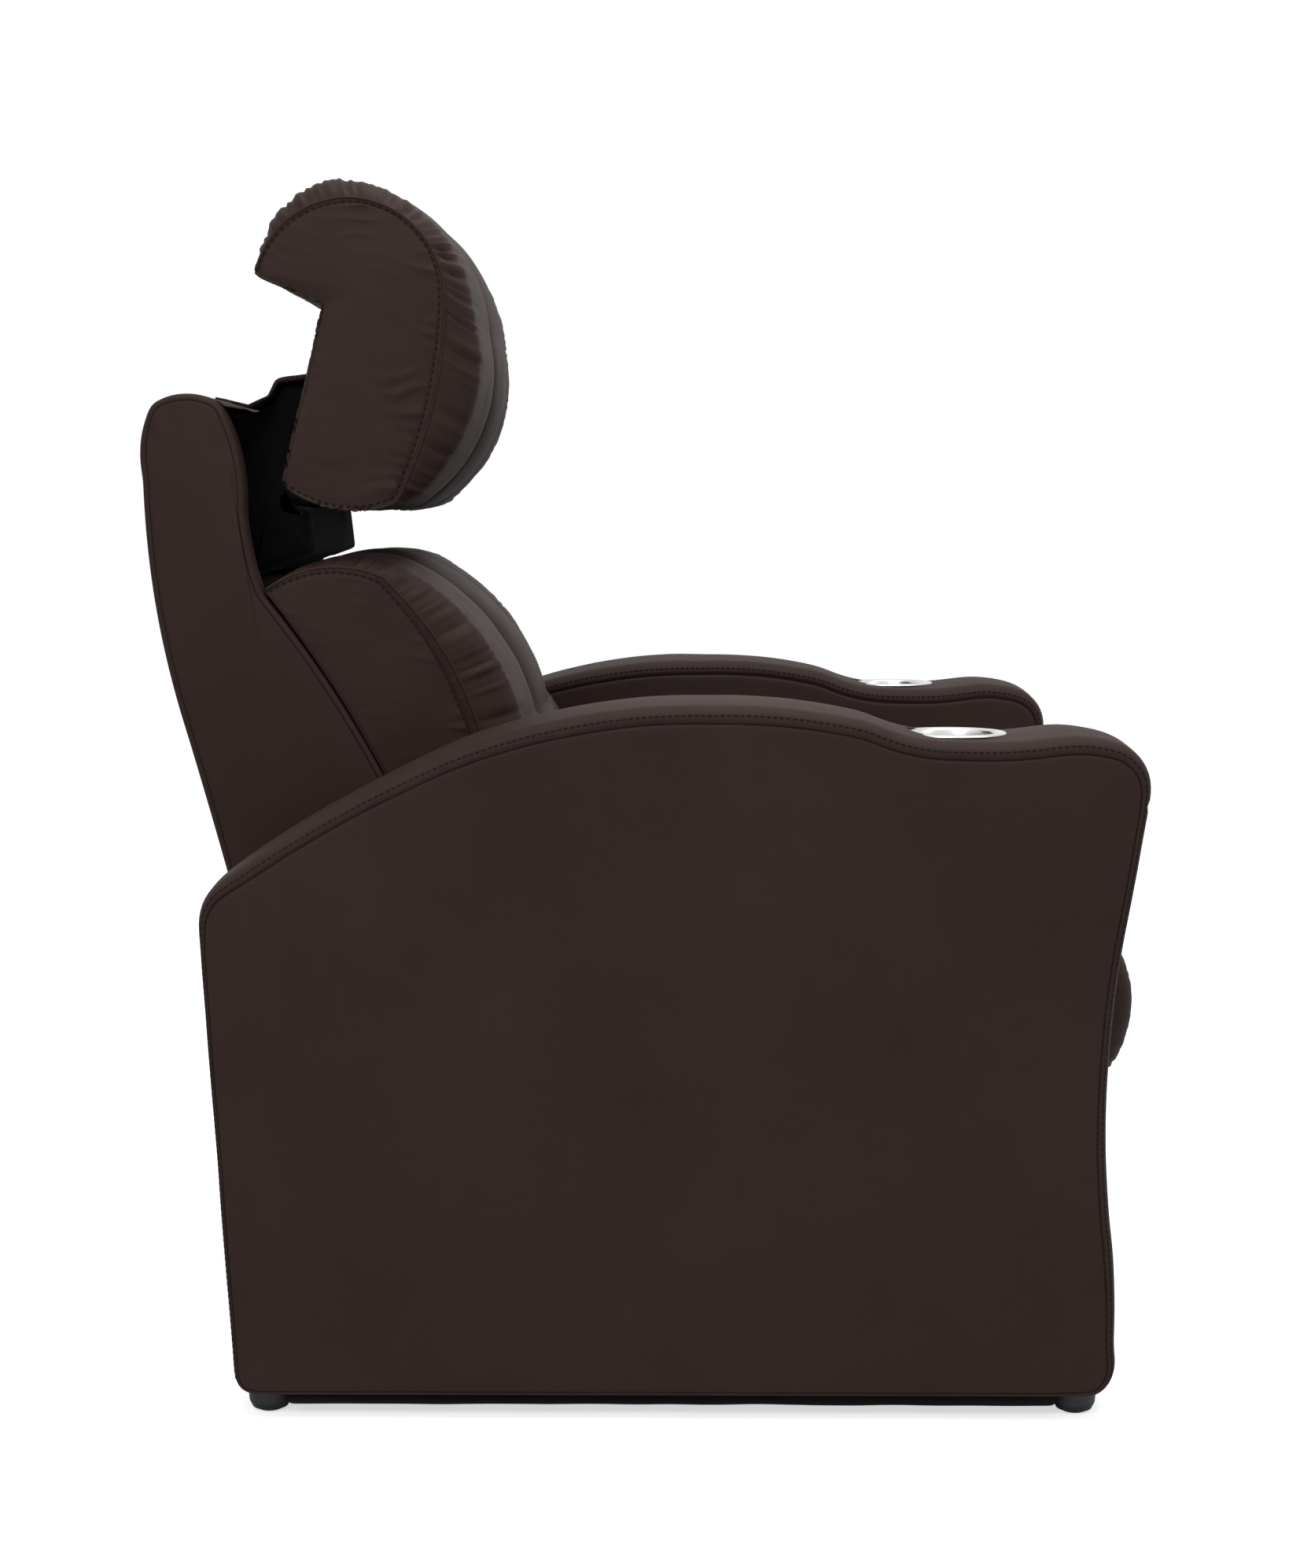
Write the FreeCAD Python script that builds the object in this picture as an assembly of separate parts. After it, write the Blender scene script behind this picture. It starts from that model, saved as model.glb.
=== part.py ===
import FreeCAD, Part
import math
import os

# Cinema recliner seat in millimetres. The occupant faces -Y, +Z is up and the origin lies on the
# floor in the middle of the chair's width and depth. Profiles are drawn as (s, z), where s is the
# distance forward of the origin. Everything is built on the +X side and mirrored where it is a pair.

# Driving dimensions: overall layout
SEAT_WIDTH = 560.0              # between the two arms
ARM_WIDTH = 165.0
BACK_GAP = 6.0                  # side clearance between the arms and all that moves between them
ARM_BOTTOM = 23.0
ARM_REAR_FOOT = -403.0          # rear edge of the arm near the floor
ARM_REAR_TOP = -430.5           # rear edge of the arm at its shoulder
ARM_SHOULDER = 488.0
ARM_CROWN = 697.0
ARM_FRONT_TIP = 480.5
ARM_FRONT_WAIST = 443.0
ARM_EDGE = 20.0                 # rounding of the long padded edges
ARM_PADDING = 12.0              # leather and foam over the wood
PLY = 12.0

# Cup holder
CUP_S = 297.0
CUP_BORE = 85.0
CUP_FLANGE = 105.0
CUP_DEPTH = 75.0
CUP_WALL = 1.0
CUP_SEAT = 662.5

# Feet
FOOT_TOP = 44.0
FOOT_SOLE = 41.0
FOOT_ROUND = 9.0                # rounding of the sole
FOOT_S = (-372.0, 420.0)
FOOT_INSET = 40.0               # from the outer face of the arm to the foot's axis

# Steel plate stock and pivots
PLATE = 4.0
LINK_GAP = 3.0                  # between neighbouring link planes
LINK_HALF = 10.0                # half the width of a flat link
SLIM_HALF = 6.5                 # the same where two links fold side by side
SLIM_EYE = 8.0
PIN_R = 4.0
PIN_HEAD_R = 7.0
HEAD_GAP = 0.3                  # rivet head to the face that turns under it
RUN_CLEAR = 0.05                # radial running clearance

# Seat carriage and its rails
SIDE_PLATE_IN = 80.0            # from the arm to the inner face of the side plate
RAIL_IN = 30.0                  # from there to the rail's axis
RAIL_WIDTH = 30.0
RAIL_BOTTOM = 64.0
RAIL_TOP = 94.0
SLIDE_CLEAR = 0.3
CROSS_BOTTOM = 34.0
FRAME_OVER_LINK = 20.0          # clearance of the seat frame over the highest footrest pivot
FRAME_OVER_TUBE = 27.0          # and over the torque tube
SEAT_FRAME_HEIGHT = 26.0

# Back pivot and recline drive
BACK_PIVOT = (-282.0, 360.0)
BACK_PIN_R = 6.0
RECLINE = 34.0
RECLINE_ARM = 80.0              # crank radius below the back pivot
RECLINE_X = 60.0

# Footrest linkage at rest (seat raised, footrest folded)
FOOT_A = (182.0, 256.0)         # rear link on the side plate
FOOT_B = (234.0, 285.0)         # torque tube through the side plates
FOOT_D = (65.0, 135.0)          # rear link to long link
FOOT_E = (113.5, 163.0)         # front link to long link
FOOT_F = (120.5, 119.5)         # front link to short link
FOOT_H = (355.0, 292.0)         # long link to footrest bracket
FOOT_K = (372.0, 243.0)         # short link to footrest bracket
D_PLAY = 2.0                    # radial clearance of the open pivot at D
K_PLAY = 2.5                    # and at K
TUBE_R = 12.5
TUBE_WALL = 2.0
FOOT_CRANK = 45.0
FOOT_CRANK_LEAN = -143.0        # angle of the crank at rest, as far behind the vertical as it ends before it
FOOT_DRIVE_X = -60.0

# Headrest linkage at rest (headrest raised and tilted forward)
HEAD_G1 = (-416.0, 896.0)
HEAD_P1 = (-372.0, 940.0)
HEAD_G2 = (-468.0, 912.0)
HEAD_P2 = (-405.0, 960.0)
HEAD_PLATE_X = 50.0
P2_PLAY = 2.0
HEAD_TUBE_R = 6.0
HEAD_CRANK = 30.0
HEAD_CRANK_LEAN = 27.4          # angle of the crank at rest, as far above the level as it ends below it
HEAD_PIN_R = 3.0

# Cushions
SEAT_TOP = 486.0
SEAT_CROWN = 14.0
CHANNEL_X = 92.0                # the two vertical channels that part each cushion in three panels
CHANNEL_WIDTH = 9.0

HALF_SEAT = SEAT_WIDTH / 2
ARM_OUT = HALF_SEAT + ARM_WIDTH
BACK_HALF = HALF_SEAT - BACK_GAP
SIDE_PLATE_X = HALF_SEAT - SIDE_PLATE_IN
RAIL_X = SIDE_PLATE_X - RAIL_IN
SEAT_FRAME_BOTTOM = max(FOOT_H[1] + FRAME_OVER_LINK, FOOT_B[1] + FRAME_OVER_TUBE)
FRAME_S = (-225.0, FOOT_H[0] - 15.0)
FRAME_HALF = BACK_HALF - 12.0
os.makedirs("parts", exist_ok=True)


def P(x, s, z):
    return FreeCAD.Vector(x, -s, z)


def box(x0, x1, s0, s1, z0, z1):
    return Part.makeBox(x1 - x0, s1 - s0, z1 - z0, P(x0, s1, z0))


def rod_x(x0, x1, at, r):
    return Part.makeCylinder(r, x1 - x0, P(x0, at[0], at[1]), FreeCAD.Vector(1, 0, 0))


def rod_z(x, s, z0, z1, r0, r1=None):
    if r1 is None:
        return Part.makeCylinder(r0, z1 - z0, P(x, s, z0))
    return Part.makeCone(r0, r1, z1 - z0, P(x, s, z0))


def rod_s(x, s0, s1, z, r):
    return Part.makeCylinder(r, s1 - s0, P(x, s0, z), FreeCAD.Vector(0, -1, 0))


def wire(x, start, *moves):
    """Closed outline in the plane x: a point is a straight line, a pair of points an arc."""
    edges = []
    here = start
    for move in moves + (start,):
        if isinstance(move[0], tuple):
            mid, end = move
            edges.append(Part.Arc(P(x, *here), P(x, *mid), P(x, *end)).toShape())
        else:
            end = move
            if math.dist(here, end) > 1e-6:
                edges.append(Part.makeLine(P(x, *here), P(x, *end)))
        here = end
    return Part.Wire(edges)


def slab(x0, x1, start, *moves):
    return Part.Face(wire(x0, start, *moves)).extrude(FreeCAD.Vector(x1 - x0, 0, 0))


def bar(x0, x1, half, *points):
    """Flat link with round ends over a chain of pivots."""
    shape = rod_x(x0, x1, points[0], half)
    for a, b in zip(points, points[1:]):
        length = math.dist(a, b)
        ns, nz = -(b[1] - a[1]) / length * half, (b[0] - a[0]) / length * half
        web = slab(x0, x1, (a[0] + ns, a[1] + nz), (b[0] + ns, b[1] + nz),
                   (b[0] - ns, b[1] - nz), (a[0] - ns, a[1] - nz))
        shape = shape.fuse([web, rod_x(x0, x1, b, half)])
    return shape.removeSplitter()


def rivet(at, x_plate, x_link):
    """Shoulder rivet fast in one plate; its head holds the link that turns on it, inward or outward.

    Both positions are inner faces. The shoulder fills the space between the two.
    """
    if x_link > x_plate:
        tip = x_link + PLATE + LINK_GAP - HEAD_GAP
        shank = (x_plate, tip)
        shoulder = (x_plate + PLATE, x_link - HEAD_GAP)
        head = (x_link + PLATE + HEAD_GAP, tip)
    else:
        tip = x_link - LINK_GAP + HEAD_GAP
        shank = (tip, x_plate + PLATE)
        shoulder = (x_link + PLATE + HEAD_GAP, x_plate)
        head = (tip, x_link - HEAD_GAP)
    collars = [rod_x(*shoulder, at, PIN_HEAD_R), rod_x(*head, at, PIN_HEAD_R)]
    return rod_x(*shank, at, PIN_R).fuse(collars).removeSplitter()


def mirrored(shape):
    return shape.mirror(FreeCAD.Vector(0, 0, 0), FreeCAD.Vector(1, 0, 0))


def both(*shapes):
    return list(shapes) + [mirrored(s) for s in shapes]


def save(name, *shapes):
    solids = [solid for shape in shapes for solid in shape.Solids]
    for solid in solids:
        if not solid.isValid():
            print("not valid:", name)
    Part.makeCompound(solids).exportStep("parts/" + name + ".step")


def save_pair(name, shape):
    """The occupant's left side is +X and the right side -X."""
    save(name + "_left", shape)
    save(name + "_right", mirrored(shape))


def link_plane(n):
    """Inner face of the n-th link plane outside the side plate."""
    return SIDE_PLATE_X + n * (PLATE + LINK_GAP)


# Arms
def arm_outline(x, inset=0.0):
    """Side view of an arm: raked rear edge, long crown, cup recess and waisted front."""
    i = inset
    bottom = ARM_BOTTOM
    return wire(
        x,
        (ARM_REAR_FOOT + 19 + i, bottom),
        ((ARM_REAR_FOOT + 6 + i, bottom + 5), (ARM_REAR_FOOT + i, bottom + 19)),
        (ARM_REAR_TOP + i, ARM_SHOULDER - i / 2),
        ((ARM_REAR_TOP + 5 + i, ARM_SHOULDER + 21 - i), (ARM_REAR_TOP + 20 + i, ARM_SHOULDER + 39 - i)),
        ((-318, 587 - i), (-195 + i / 3, 650 - i)),
        ((-72, 686 - i), (62, ARM_CROWN - i)),
        ((150, 692 - i), (CUP_S - 63, 671.5 - i)),
        (CUP_S - 54, CUP_SEAT - i),
        (CUP_S + 54, CUP_SEAT - i),
        ((397, 667.5 - i), (437 - i / 2, 665 - i)),
        ((ARM_FRONT_TIP - 11 - i, 648 - i / 2), (ARM_FRONT_TIP - i, 615)),
        (ARM_FRONT_TIP - 18.5 - i, 500),
        ((ARM_FRONT_WAIST - i, 318), (ARM_FRONT_WAIST + 5.5 - i, 194)),
        ((ARM_FRONT_WAIST + 11.5 - i, 128), (ARM_FRONT_WAIST + 11.5 - i, 70)),
        ((ARM_FRONT_WAIST + 8 - i, bottom + 13), (ARM_FRONT_WAIST - 5 - i, bottom)),
    )


def padded_arm():
    """Outer form of an arm, its long edges rounded by sections that shrink like a quarter circle."""
    steps = (0.0, 0.12, 0.35, 0.65, 1.0)
    depths = [(ARM_EDGE * t, ARM_EDGE * (1 - math.sqrt(1 - (1 - t) ** 2))) for t in steps]
    right = [(HALF_SEAT + along, inset) for along, inset in depths]
    left = [(ARM_OUT - along, inset) for along, inset in reversed(depths)]
    return Part.makeLoft([arm_outline(x, inset) for x, inset in right + left], True, True)


def arm_interior(clearance):
    """Space inside an arm cover, open to the floor."""
    x0, x1 = HALF_SEAT + ARM_PADDING + clearance, ARM_OUT - ARM_PADDING - clearance
    core = Part.Face(arm_outline(x0, ARM_PADDING + ARM_EDGE / 4 + clearance))
    core = core.extrude(FreeCAD.Vector(x1 - x0, 0, 0))
    mouth = box(x0, x1, -378 + clearance, 424 - clearance, ARM_BOTTOM - 5, ARM_BOTTOM + 30)
    return core, mouth


def cup_well(r, depth):
    return rod_z(HALF_SEAT + ARM_WIDTH / 2, CUP_S, CUP_SEAT - depth, CUP_SEAT + 30, r)


ARM_MID = HALF_SEAT + ARM_WIDTH / 2
CUP_CLEAR = 2.0

core, mouth = arm_interior(0.0)
arm_cover = padded_arm().cut(core.fuse(mouth)).cut(cup_well(CUP_BORE / 2 + CUP_WALL + CUP_CLEAR, CUP_DEPTH + 5))

core, mouth = arm_interior(0.0)
inner_face, outer_face = HALF_SEAT + ARM_PADDING, ARM_OUT - ARM_PADDING
inner_ply = core.common(box(inner_face, inner_face + PLY, -600, 600, ARM_BOTTOM, 900))
outer_ply = core.common(box(outer_face - PLY, outer_face, -600, 600, ARM_BOTTOM, 900))
between = (inner_face + PLY, outer_face - PLY)
front_post = core.common(box(*between, 395, 425, 60, 620))
rear_post = core.common(box(*between, -383, -353, 60, 480))
deck = core.common(box(*between, 210, 384, CUP_SEAT - 48, CUP_SEAT - 30))
deck = deck.cut(cup_well(CUP_BORE / 2 + CUP_WALL + CUP_CLEAR, CUP_DEPTH + 5))
foot_board = box(*between, -378, 424, ARM_BOTTOM, 60)
arm_frame = [inner_ply, outer_ply, front_post, rear_post, deck, foot_board]

cup_tube = rod_z(ARM_MID, CUP_S, CUP_SEAT - CUP_DEPTH, CUP_SEAT, CUP_BORE / 2 + CUP_WALL)
cup_rim = rod_z(ARM_MID, CUP_S, CUP_SEAT, CUP_SEAT + 1.6, CUP_FLANGE / 2, CUP_FLANGE / 2 - 1.6)
cup_hollow = rod_z(ARM_MID, CUP_S, CUP_SEAT - CUP_DEPTH + CUP_WALL, CUP_SEAT + 5, CUP_BORE / 2)
cup_holder = cup_tube.fuse(cup_rim).cut(cup_hollow).removeSplitter()

feet = []
for foot_s in FOOT_S:
    foot_x = ARM_OUT - FOOT_INSET
    sole = rod_z(foot_x, foot_s, 0, FOOT_ROUND / 3, FOOT_SOLE / 2 - FOOT_ROUND, FOOT_SOLE / 2 - FOOT_ROUND / 3)
    rounding = rod_z(foot_x, foot_s, FOOT_ROUND / 3, FOOT_ROUND, FOOT_SOLE / 2 - FOOT_ROUND / 3, FOOT_SOLE / 2)
    stem = rod_z(foot_x, foot_s, FOOT_ROUND, ARM_BOTTOM, FOOT_SOLE / 2, FOOT_TOP / 2)
    feet += both(sole.fuse([rounding, stem]).removeSplitter())

save_pair("arm_cover", arm_cover)
save("arm_frame_left", *arm_frame)
save("arm_frame_right", *[mirrored(s) for s in arm_frame])
save_pair("cup_holder", cup_holder)
save("feet", *feet)

# Floor frame between the arms
CROSS_S = ((-385.0, -353.0), (330.0, 362.0))
cross_rails = [box(-HALF_SEAT, HALF_SEAT, s0, s1, CROSS_BOTTOM, RAIL_BOTTOM) for s0, s1 in CROSS_S]
save("cross_rails", *cross_rails)

BOLT_R = 4.0
BOLT_HEAD_R = 7.0
brackets = []
bolts = []
for (s0, s1), toe in zip(CROSS_S, (1, -1)):
    edge = s1 if toe > 0 else s0
    low, high = sorted((edge, edge + toe * 30))
    upright = box(HALF_SEAT - PLATE, HALF_SEAT, low, high, CROSS_BOTTOM, RAIL_BOTTOM + 40)
    foot_s = edge + toe * 15
    for z in (RAIL_BOTTOM - 14, RAIL_BOTTOM + 24):
        upright = upright.cut(rod_x(HALF_SEAT - PLATE, HALF_SEAT, (foot_s, z), BOLT_R))
        shank = rod_x(HALF_SEAT - PLATE, HALF_SEAT, (foot_s, z), BOLT_R)
        head = rod_x(HALF_SEAT - PLATE - 5, HALF_SEAT - PLATE, (foot_s, z), BOLT_HEAD_R)
        bolts += both(shank.fuse(head).removeSplitter())
    brackets += both(upright)
save("arm_brackets", *brackets)
save("arm_bolts", *bolts)

rail = box(RAIL_X - RAIL_WIDTH / 2, RAIL_X + RAIL_WIDTH / 2, CROSS_S[0][0], CROSS_S[1][1], RAIL_BOTTOM, RAIL_TOP)
save("slide_rails", *both(rail))

REAR_PANEL_TOP = 286.0
rear_panel = box(-HALF_SEAT, HALF_SEAT, CROSS_S[0][0] - PLY, CROSS_S[0][0], CROSS_BOTTOM, REAR_PANEL_TOP)
save("base_rear_panel", rear_panel)

inlet = box(96, 124, CROSS_S[0][1], CROSS_S[0][1] + 26, CROSS_BOTTOM, RAIL_BOTTOM)
inlet_at = P(110, CROSS_S[0][1] + 13, CROSS_BOTTOM)
inlet = inlet.cut(Part.makeCylinder(6.5, 12, inlet_at))
save("power_inlet", inlet)

# Switches on the inner side of the occupant's right arm (-X)
SWITCH_S = 330.0
SWITCH_Z = 580.0
SWITCH_PLATE = (30.0, 116.0)
BUTTON_R = 9.0
BUTTON_PITCH = 25.0
BUTTON_TRAVEL = 1.5
PANEL = 3.0
SWITCH_CASE_DEPTH = 10.0
inner_x = -HALF_SEAT
plate = box(inner_x, inner_x + PANEL, SWITCH_S - SWITCH_PLATE[1] / 2, SWITCH_S + SWITCH_PLATE[1] / 2,
            SWITCH_Z - SWITCH_PLATE[0] / 2, SWITCH_Z + SWITCH_PLATE[0] / 2)
for n in range(4):
    centre = (SWITCH_S + (n - 1.5) * BUTTON_PITCH, SWITCH_Z)
    plate = plate.cut(rod_x(inner_x - 1, inner_x + PANEL + 1, centre, BUTTON_R + 0.4))
    cap = rod_x(inner_x + BUTTON_TRAVEL + 0.3, inner_x + PANEL + 3.0, centre, BUTTON_R)
    save("button_%d" % (n + 1), cap)
save("switch_plate", plate)

# Seat carriage
side_web = slab(
    SIDE_PLATE_X, SIDE_PLATE_X + PLATE,
    (-330, 110), (300, 110), (318, 130), (318, 270), (286, SEAT_FRAME_BOTTOM), (-240, SEAT_FRAME_BOTTOM),
    (-258, 372), ((BACK_PIVOT[0], 386), (-306, 372)), (-306, 290), (-330, 210),
)
side_foot = box(RAIL_X - RAIL_WIDTH / 2 - 5, SIDE_PLATE_X + PLATE, -330, 300, 106, 110)
side_top = box(SIDE_PLATE_X - 34, SIDE_PLATE_X + PLATE, FRAME_S[0], FRAME_S[1] - 54,
               SEAT_FRAME_BOTTOM - PLATE, SEAT_FRAME_BOTTOM)
side_plate = side_web.fuse([side_foot, side_top])
side_plate = side_plate.cut(rod_x(SIDE_PLATE_X - 1, SIDE_PLATE_X + PLATE + 1, FOOT_B, TUBE_R + RUN_CLEAR))
side_plate = side_plate.cut(rod_x(SIDE_PLATE_X - 1, SIDE_PLATE_X + PLATE + 1, FOOT_A, PIN_R))
side_plate = side_plate.cut(rod_x(SIDE_PLATE_X - 1, SIDE_PLATE_X + PLATE + 1, BACK_PIVOT, BACK_PIN_R))
save_pair("side_plate", side_plate.removeSplitter())

REAR_TUBE = (-300.0, 180.0)
MID_TUBE = (10.0, 150.0)
tubes = []
for at in (REAR_TUBE, MID_TUBE):
    tubes.append(box(-SIDE_PLATE_X, SIDE_PLATE_X, at[0] - 12, at[0] + 12, at[1] - 12, at[1] + 12))
save("carriage_tubes", *tubes)

SHOE_S = (-310.0, 190.0)
SHOE_LENGTH = 70.0
shoes = []
for shoe_s in SHOE_S:
    shoe = box(RAIL_X - RAIL_WIDTH / 2 - 5, RAIL_X + RAIL_WIDTH / 2 + 5, shoe_s, shoe_s + SHOE_LENGTH, 76, 106)
    groove = box(RAIL_X - RAIL_WIDTH / 2 - SLIDE_CLEAR, RAIL_X + RAIL_WIDTH / 2 + SLIDE_CLEAR,
                 shoe_s - 1, shoe_s + SHOE_LENGTH + 1, 70, RAIL_TOP + SLIDE_CLEAR)
    shoes += both(shoe.cut(groove))
save("glide_shoes", *shoes)

FRAME_TOP = SEAT_FRAME_BOTTOM + SEAT_FRAME_HEIGHT
frame_left = box(SIDE_PLATE_X - 34, FRAME_HALF, FRAME_S[0], FRAME_S[1], SEAT_FRAME_BOTTOM, FRAME_TOP)
frame_rear = box(34 - SIDE_PLATE_X, SIDE_PLATE_X - 34, FRAME_S[0], FRAME_S[0] + 40, SEAT_FRAME_BOTTOM, FRAME_TOP)
frame_front = box(34 - SIDE_PLATE_X, SIDE_PLATE_X - 34, FRAME_S[1] - 40, FRAME_S[1], SEAT_FRAME_BOTTOM, FRAME_TOP)
save("seat_frame", *both(frame_left), frame_rear, frame_front)

WEB_COUNT = 5
WEB_WIDTH = 46.0
WEB_THICK = 3.0
webs = []
for n in range(WEB_COUNT):
    x = (n - (WEB_COUNT - 1) / 2) * 62.0
    webs.append(box(x - WEB_WIDTH / 2, x + WEB_WIDTH / 2, FRAME_S[0], FRAME_S[1], FRAME_TOP, FRAME_TOP + WEB_THICK))
save("seat_webbing", *webs)


# Cushion forms
def blend_outline(side, middle, w):
    """Outline between a cushion's edge and its middle, for a share w of the way in."""
    out = []
    for a, b in zip(side, middle):
        if isinstance(a[0], tuple):
            out.append(tuple((p[0] + w * (q[0] - p[0]), p[1] + w * (q[1] - p[1])) for p, q in zip(a, b)))
        else:
            out.append((a[0] + w * (b[0] - a[0]), a[1] + w * (b[1] - a[1])))
    return out


def cushion(half, side, middle, edge, channel_share):
    """Closed cushion: drawn-in sides, crown across the width and two sewn channels."""
    panel = (1.0 - channel_share)
    stations = [
        (half, 0.0), (half - edge * 0.35, 0.42), (half - edge, 0.72), ((half + CHANNEL_X) / 2, 0.86),
        (CHANNEL_X + CHANNEL_WIDTH, 0.80), (CHANNEL_X, panel), (CHANNEL_X - CHANNEL_WIDTH, 0.90),
        (CHANNEL_X * 0.45, 0.99),
    ]
    across = [(-x, w) for x, w in stations] + [(x, w) for x, w in reversed(stations)]
    wires = [wire(x, *blend_outline(side, middle, w)) for x, w in across]
    return Part.makeLoft(wires, True, True)


# Seat cushion
SEAT_REAR = -210.0
SEAT_FRONT = FOOT_H[0] + 29.0
seat_bottom = FRAME_TOP + WEB_THICK
seat_side = [
    (SEAT_REAR, seat_bottom), ((SEAT_REAR - 4, 410), (SEAT_REAR + 4, SEAT_TOP - 26)),
    ((SEAT_REAR + 10, SEAT_TOP - 14), (SEAT_REAR + 30, SEAT_TOP - 12)),
    ((80, SEAT_TOP - 6), (SEAT_FRONT - 40, SEAT_TOP - 10)),
    ((SEAT_FRONT - 12, SEAT_TOP - 20), (SEAT_FRONT - 4, SEAT_TOP - 50)),
    ((SEAT_FRONT - 5, 400), (SEAT_FRONT - 12, seat_bottom)),
]
seat_middle = [
    (SEAT_REAR, seat_bottom), ((SEAT_REAR - 4, 410), (SEAT_REAR + 4, SEAT_TOP - 24)),
    ((SEAT_REAR + 10, SEAT_TOP - 13), (SEAT_REAR + 30, SEAT_TOP - 10)),
    ((80, SEAT_TOP + SEAT_CROWN), (SEAT_FRONT - 44, SEAT_TOP + SEAT_CROWN - 6)),
    ((SEAT_FRONT + 2, SEAT_TOP - 4), (SEAT_FRONT + 2, SEAT_TOP - 44)),
    ((SEAT_FRONT + 1, 400), (SEAT_FRONT - 12, seat_bottom)),
]
save("seat_cushion", cushion(BACK_HALF - 4, seat_side, seat_middle, 26, 0.45))

# Footrest linkage, outside the side plates
first, second, third = link_plane(1), link_plane(2), link_plane(3)
hole = PIN_R + RUN_CLEAR


def drilled(shape, x0, *cuts):
    for at, r in cuts:
        shape = shape.cut(rod_x(x0 - 1, x0 + PLATE + 1, at, r))
    return shape


def slim_bar(x0, a, b):
    """Narrow link with wider eyes at its two ends."""
    shape = bar(x0, x0 + PLATE, SLIM_HALF, a, b)
    return shape.fuse([rod_x(x0, x0 + PLATE, at, SLIM_EYE) for at in (a, b)]).removeSplitter()


front_link = slim_bar(second, FOOT_B, FOOT_E).fuse([
    bar(second, second + PLATE, SLIM_EYE, FOOT_E, FOOT_F),
    bar(second, second + PLATE, LINK_HALF, FOOT_F, FOOT_B),
    rod_x(second, second + PLATE, FOOT_B, TUBE_R + 5),
]).removeSplitter()
front_link = drilled(front_link, second, (FOOT_B, TUBE_R), (FOOT_E, PIN_R), (FOOT_F, PIN_R))
save("front_links", *both(front_link, rivet(FOOT_E, second, third), rivet(FOOT_F, second, first)))

rear_link = drilled(slim_bar(second, FOOT_A, FOOT_D), second, (FOOT_A, hole), (FOOT_D, PIN_R))
save("rear_links", *both(rear_link, rivet(FOOT_D, second, third)))

long_link = bar(third, third + PLATE, LINK_HALF + 1, FOOT_D, FOOT_E, FOOT_H)
long_link = drilled(long_link, third, (FOOT_D, PIN_R + D_PLAY), (FOOT_E, hole), (FOOT_H, hole))
save("long_links", *both(long_link))

short_link = bar(first, first + PLATE, LINK_HALF + 1, FOOT_F, FOOT_K)
short_link = drilled(short_link, first, (FOOT_F, hole), (FOOT_K, PIN_R + K_PLAY))
save("short_links", *both(short_link))

BOARD_THICK = 16.0
BOARD_BEHIND = max(FOOT_H[0] + 37.0, FOOT_K[0] + 20.0)
BOARD_S = (BOARD_BEHIND, BOARD_BEHIND + BOARD_THICK)
BOARD_Z = (150.0, 452.0)
BOARD_HALF = BACK_HALF - 34.0
bracket_plate = slab(
    second, second + PLATE,
    (FOOT_H[0] - 9, FOOT_H[1] + 7), (BOARD_S[0], FOOT_H[1] + 30), (BOARD_S[0], FOOT_K[1] - 36),
    (FOOT_K[0] - 9, FOOT_K[1] - 9), (FOOT_H[0] - 10, FOOT_H[1] - 8),
)
bracket_foot = box(second - 20, second + PLATE, BOARD_S[0] - PLATE, BOARD_S[0], FOOT_K[1] - 36, FOOT_H[1] + 30)
bracket = drilled(bracket_plate.fuse(bracket_foot).removeSplitter(), second, (FOOT_H, PIN_R), (FOOT_K, PIN_R))
save("footrest_brackets", *both(bracket, rivet(FOOT_H, second, third), rivet(FOOT_K, second, first)))
save("footrest_board", box(-BOARD_HALF, BOARD_HALF, BOARD_S[0], BOARD_S[1], BOARD_Z[0], BOARD_Z[1]))

tube_end = second + PLATE
torque_tube = rod_x(-tube_end, tube_end, FOOT_B, TUBE_R)
torque_tube = torque_tube.cut(rod_x(-tube_end, tube_end, FOOT_B, TUBE_R - TUBE_WALL))


def polar(centre, radius, degrees):
    return (centre[0] + radius * math.cos(math.radians(degrees)),
            centre[1] + radius * math.sin(math.radians(degrees)))


def crank(x, centre, shaft_r, radius, degrees, pin_r):
    """Two cheeks on a shaft with the drive pin between them."""
    pin_at = polar(centre, radius, degrees)
    cheeks = []
    for x0 in (x - 10 - PLATE, x + 10):
        cheek = bar(x0, x0 + PLATE, shaft_r + 3, centre, pin_at)
        cheeks.append(cheek.cut(rod_x(x0 - 1, x0 + PLATE + 1, centre, shaft_r)))
    pin = rod_x(x - 10, x + 10, pin_at, pin_r)
    return cheeks[0].fuse([cheeks[1], pin]).removeSplitter(), pin_at


foot_crank, foot_pin = crank(FOOT_DRIVE_X, FOOT_B, TUBE_R, FOOT_CRANK, FOOT_CRANK_LEAN, PIN_R)
save("torque_tube", torque_tube.fuse(foot_crank).removeSplitter())

# Footrest pad
PAD_HALF = BACK_HALF - 2
pad_rear = BOARD_S[1]
pad_side = [
    (pad_rear, 140), (pad_rear, 466), ((pad_rear + 16, 470), (pad_rear + 32, 458)),
    ((pad_rear + 62, 374), (pad_rear + 32, 290)), ((pad_rear + 22, 200), (pad_rear + 6, 142)),
]
pad_middle = [
    (pad_rear, 134), (pad_rear, 472), ((pad_rear + 30, 480), (pad_rear + 60, 462)),
    ((pad_rear + 98, 372), (pad_rear + 54, 286)), ((pad_rear + 36, 200), (pad_rear + 10, 136)),
]
save("footrest_pad", cushion(PAD_HALF, pad_side, pad_middle, 30, 0.30))

# Linear drives under the seat
DRIVE_TUBE_R = 9.0


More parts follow.
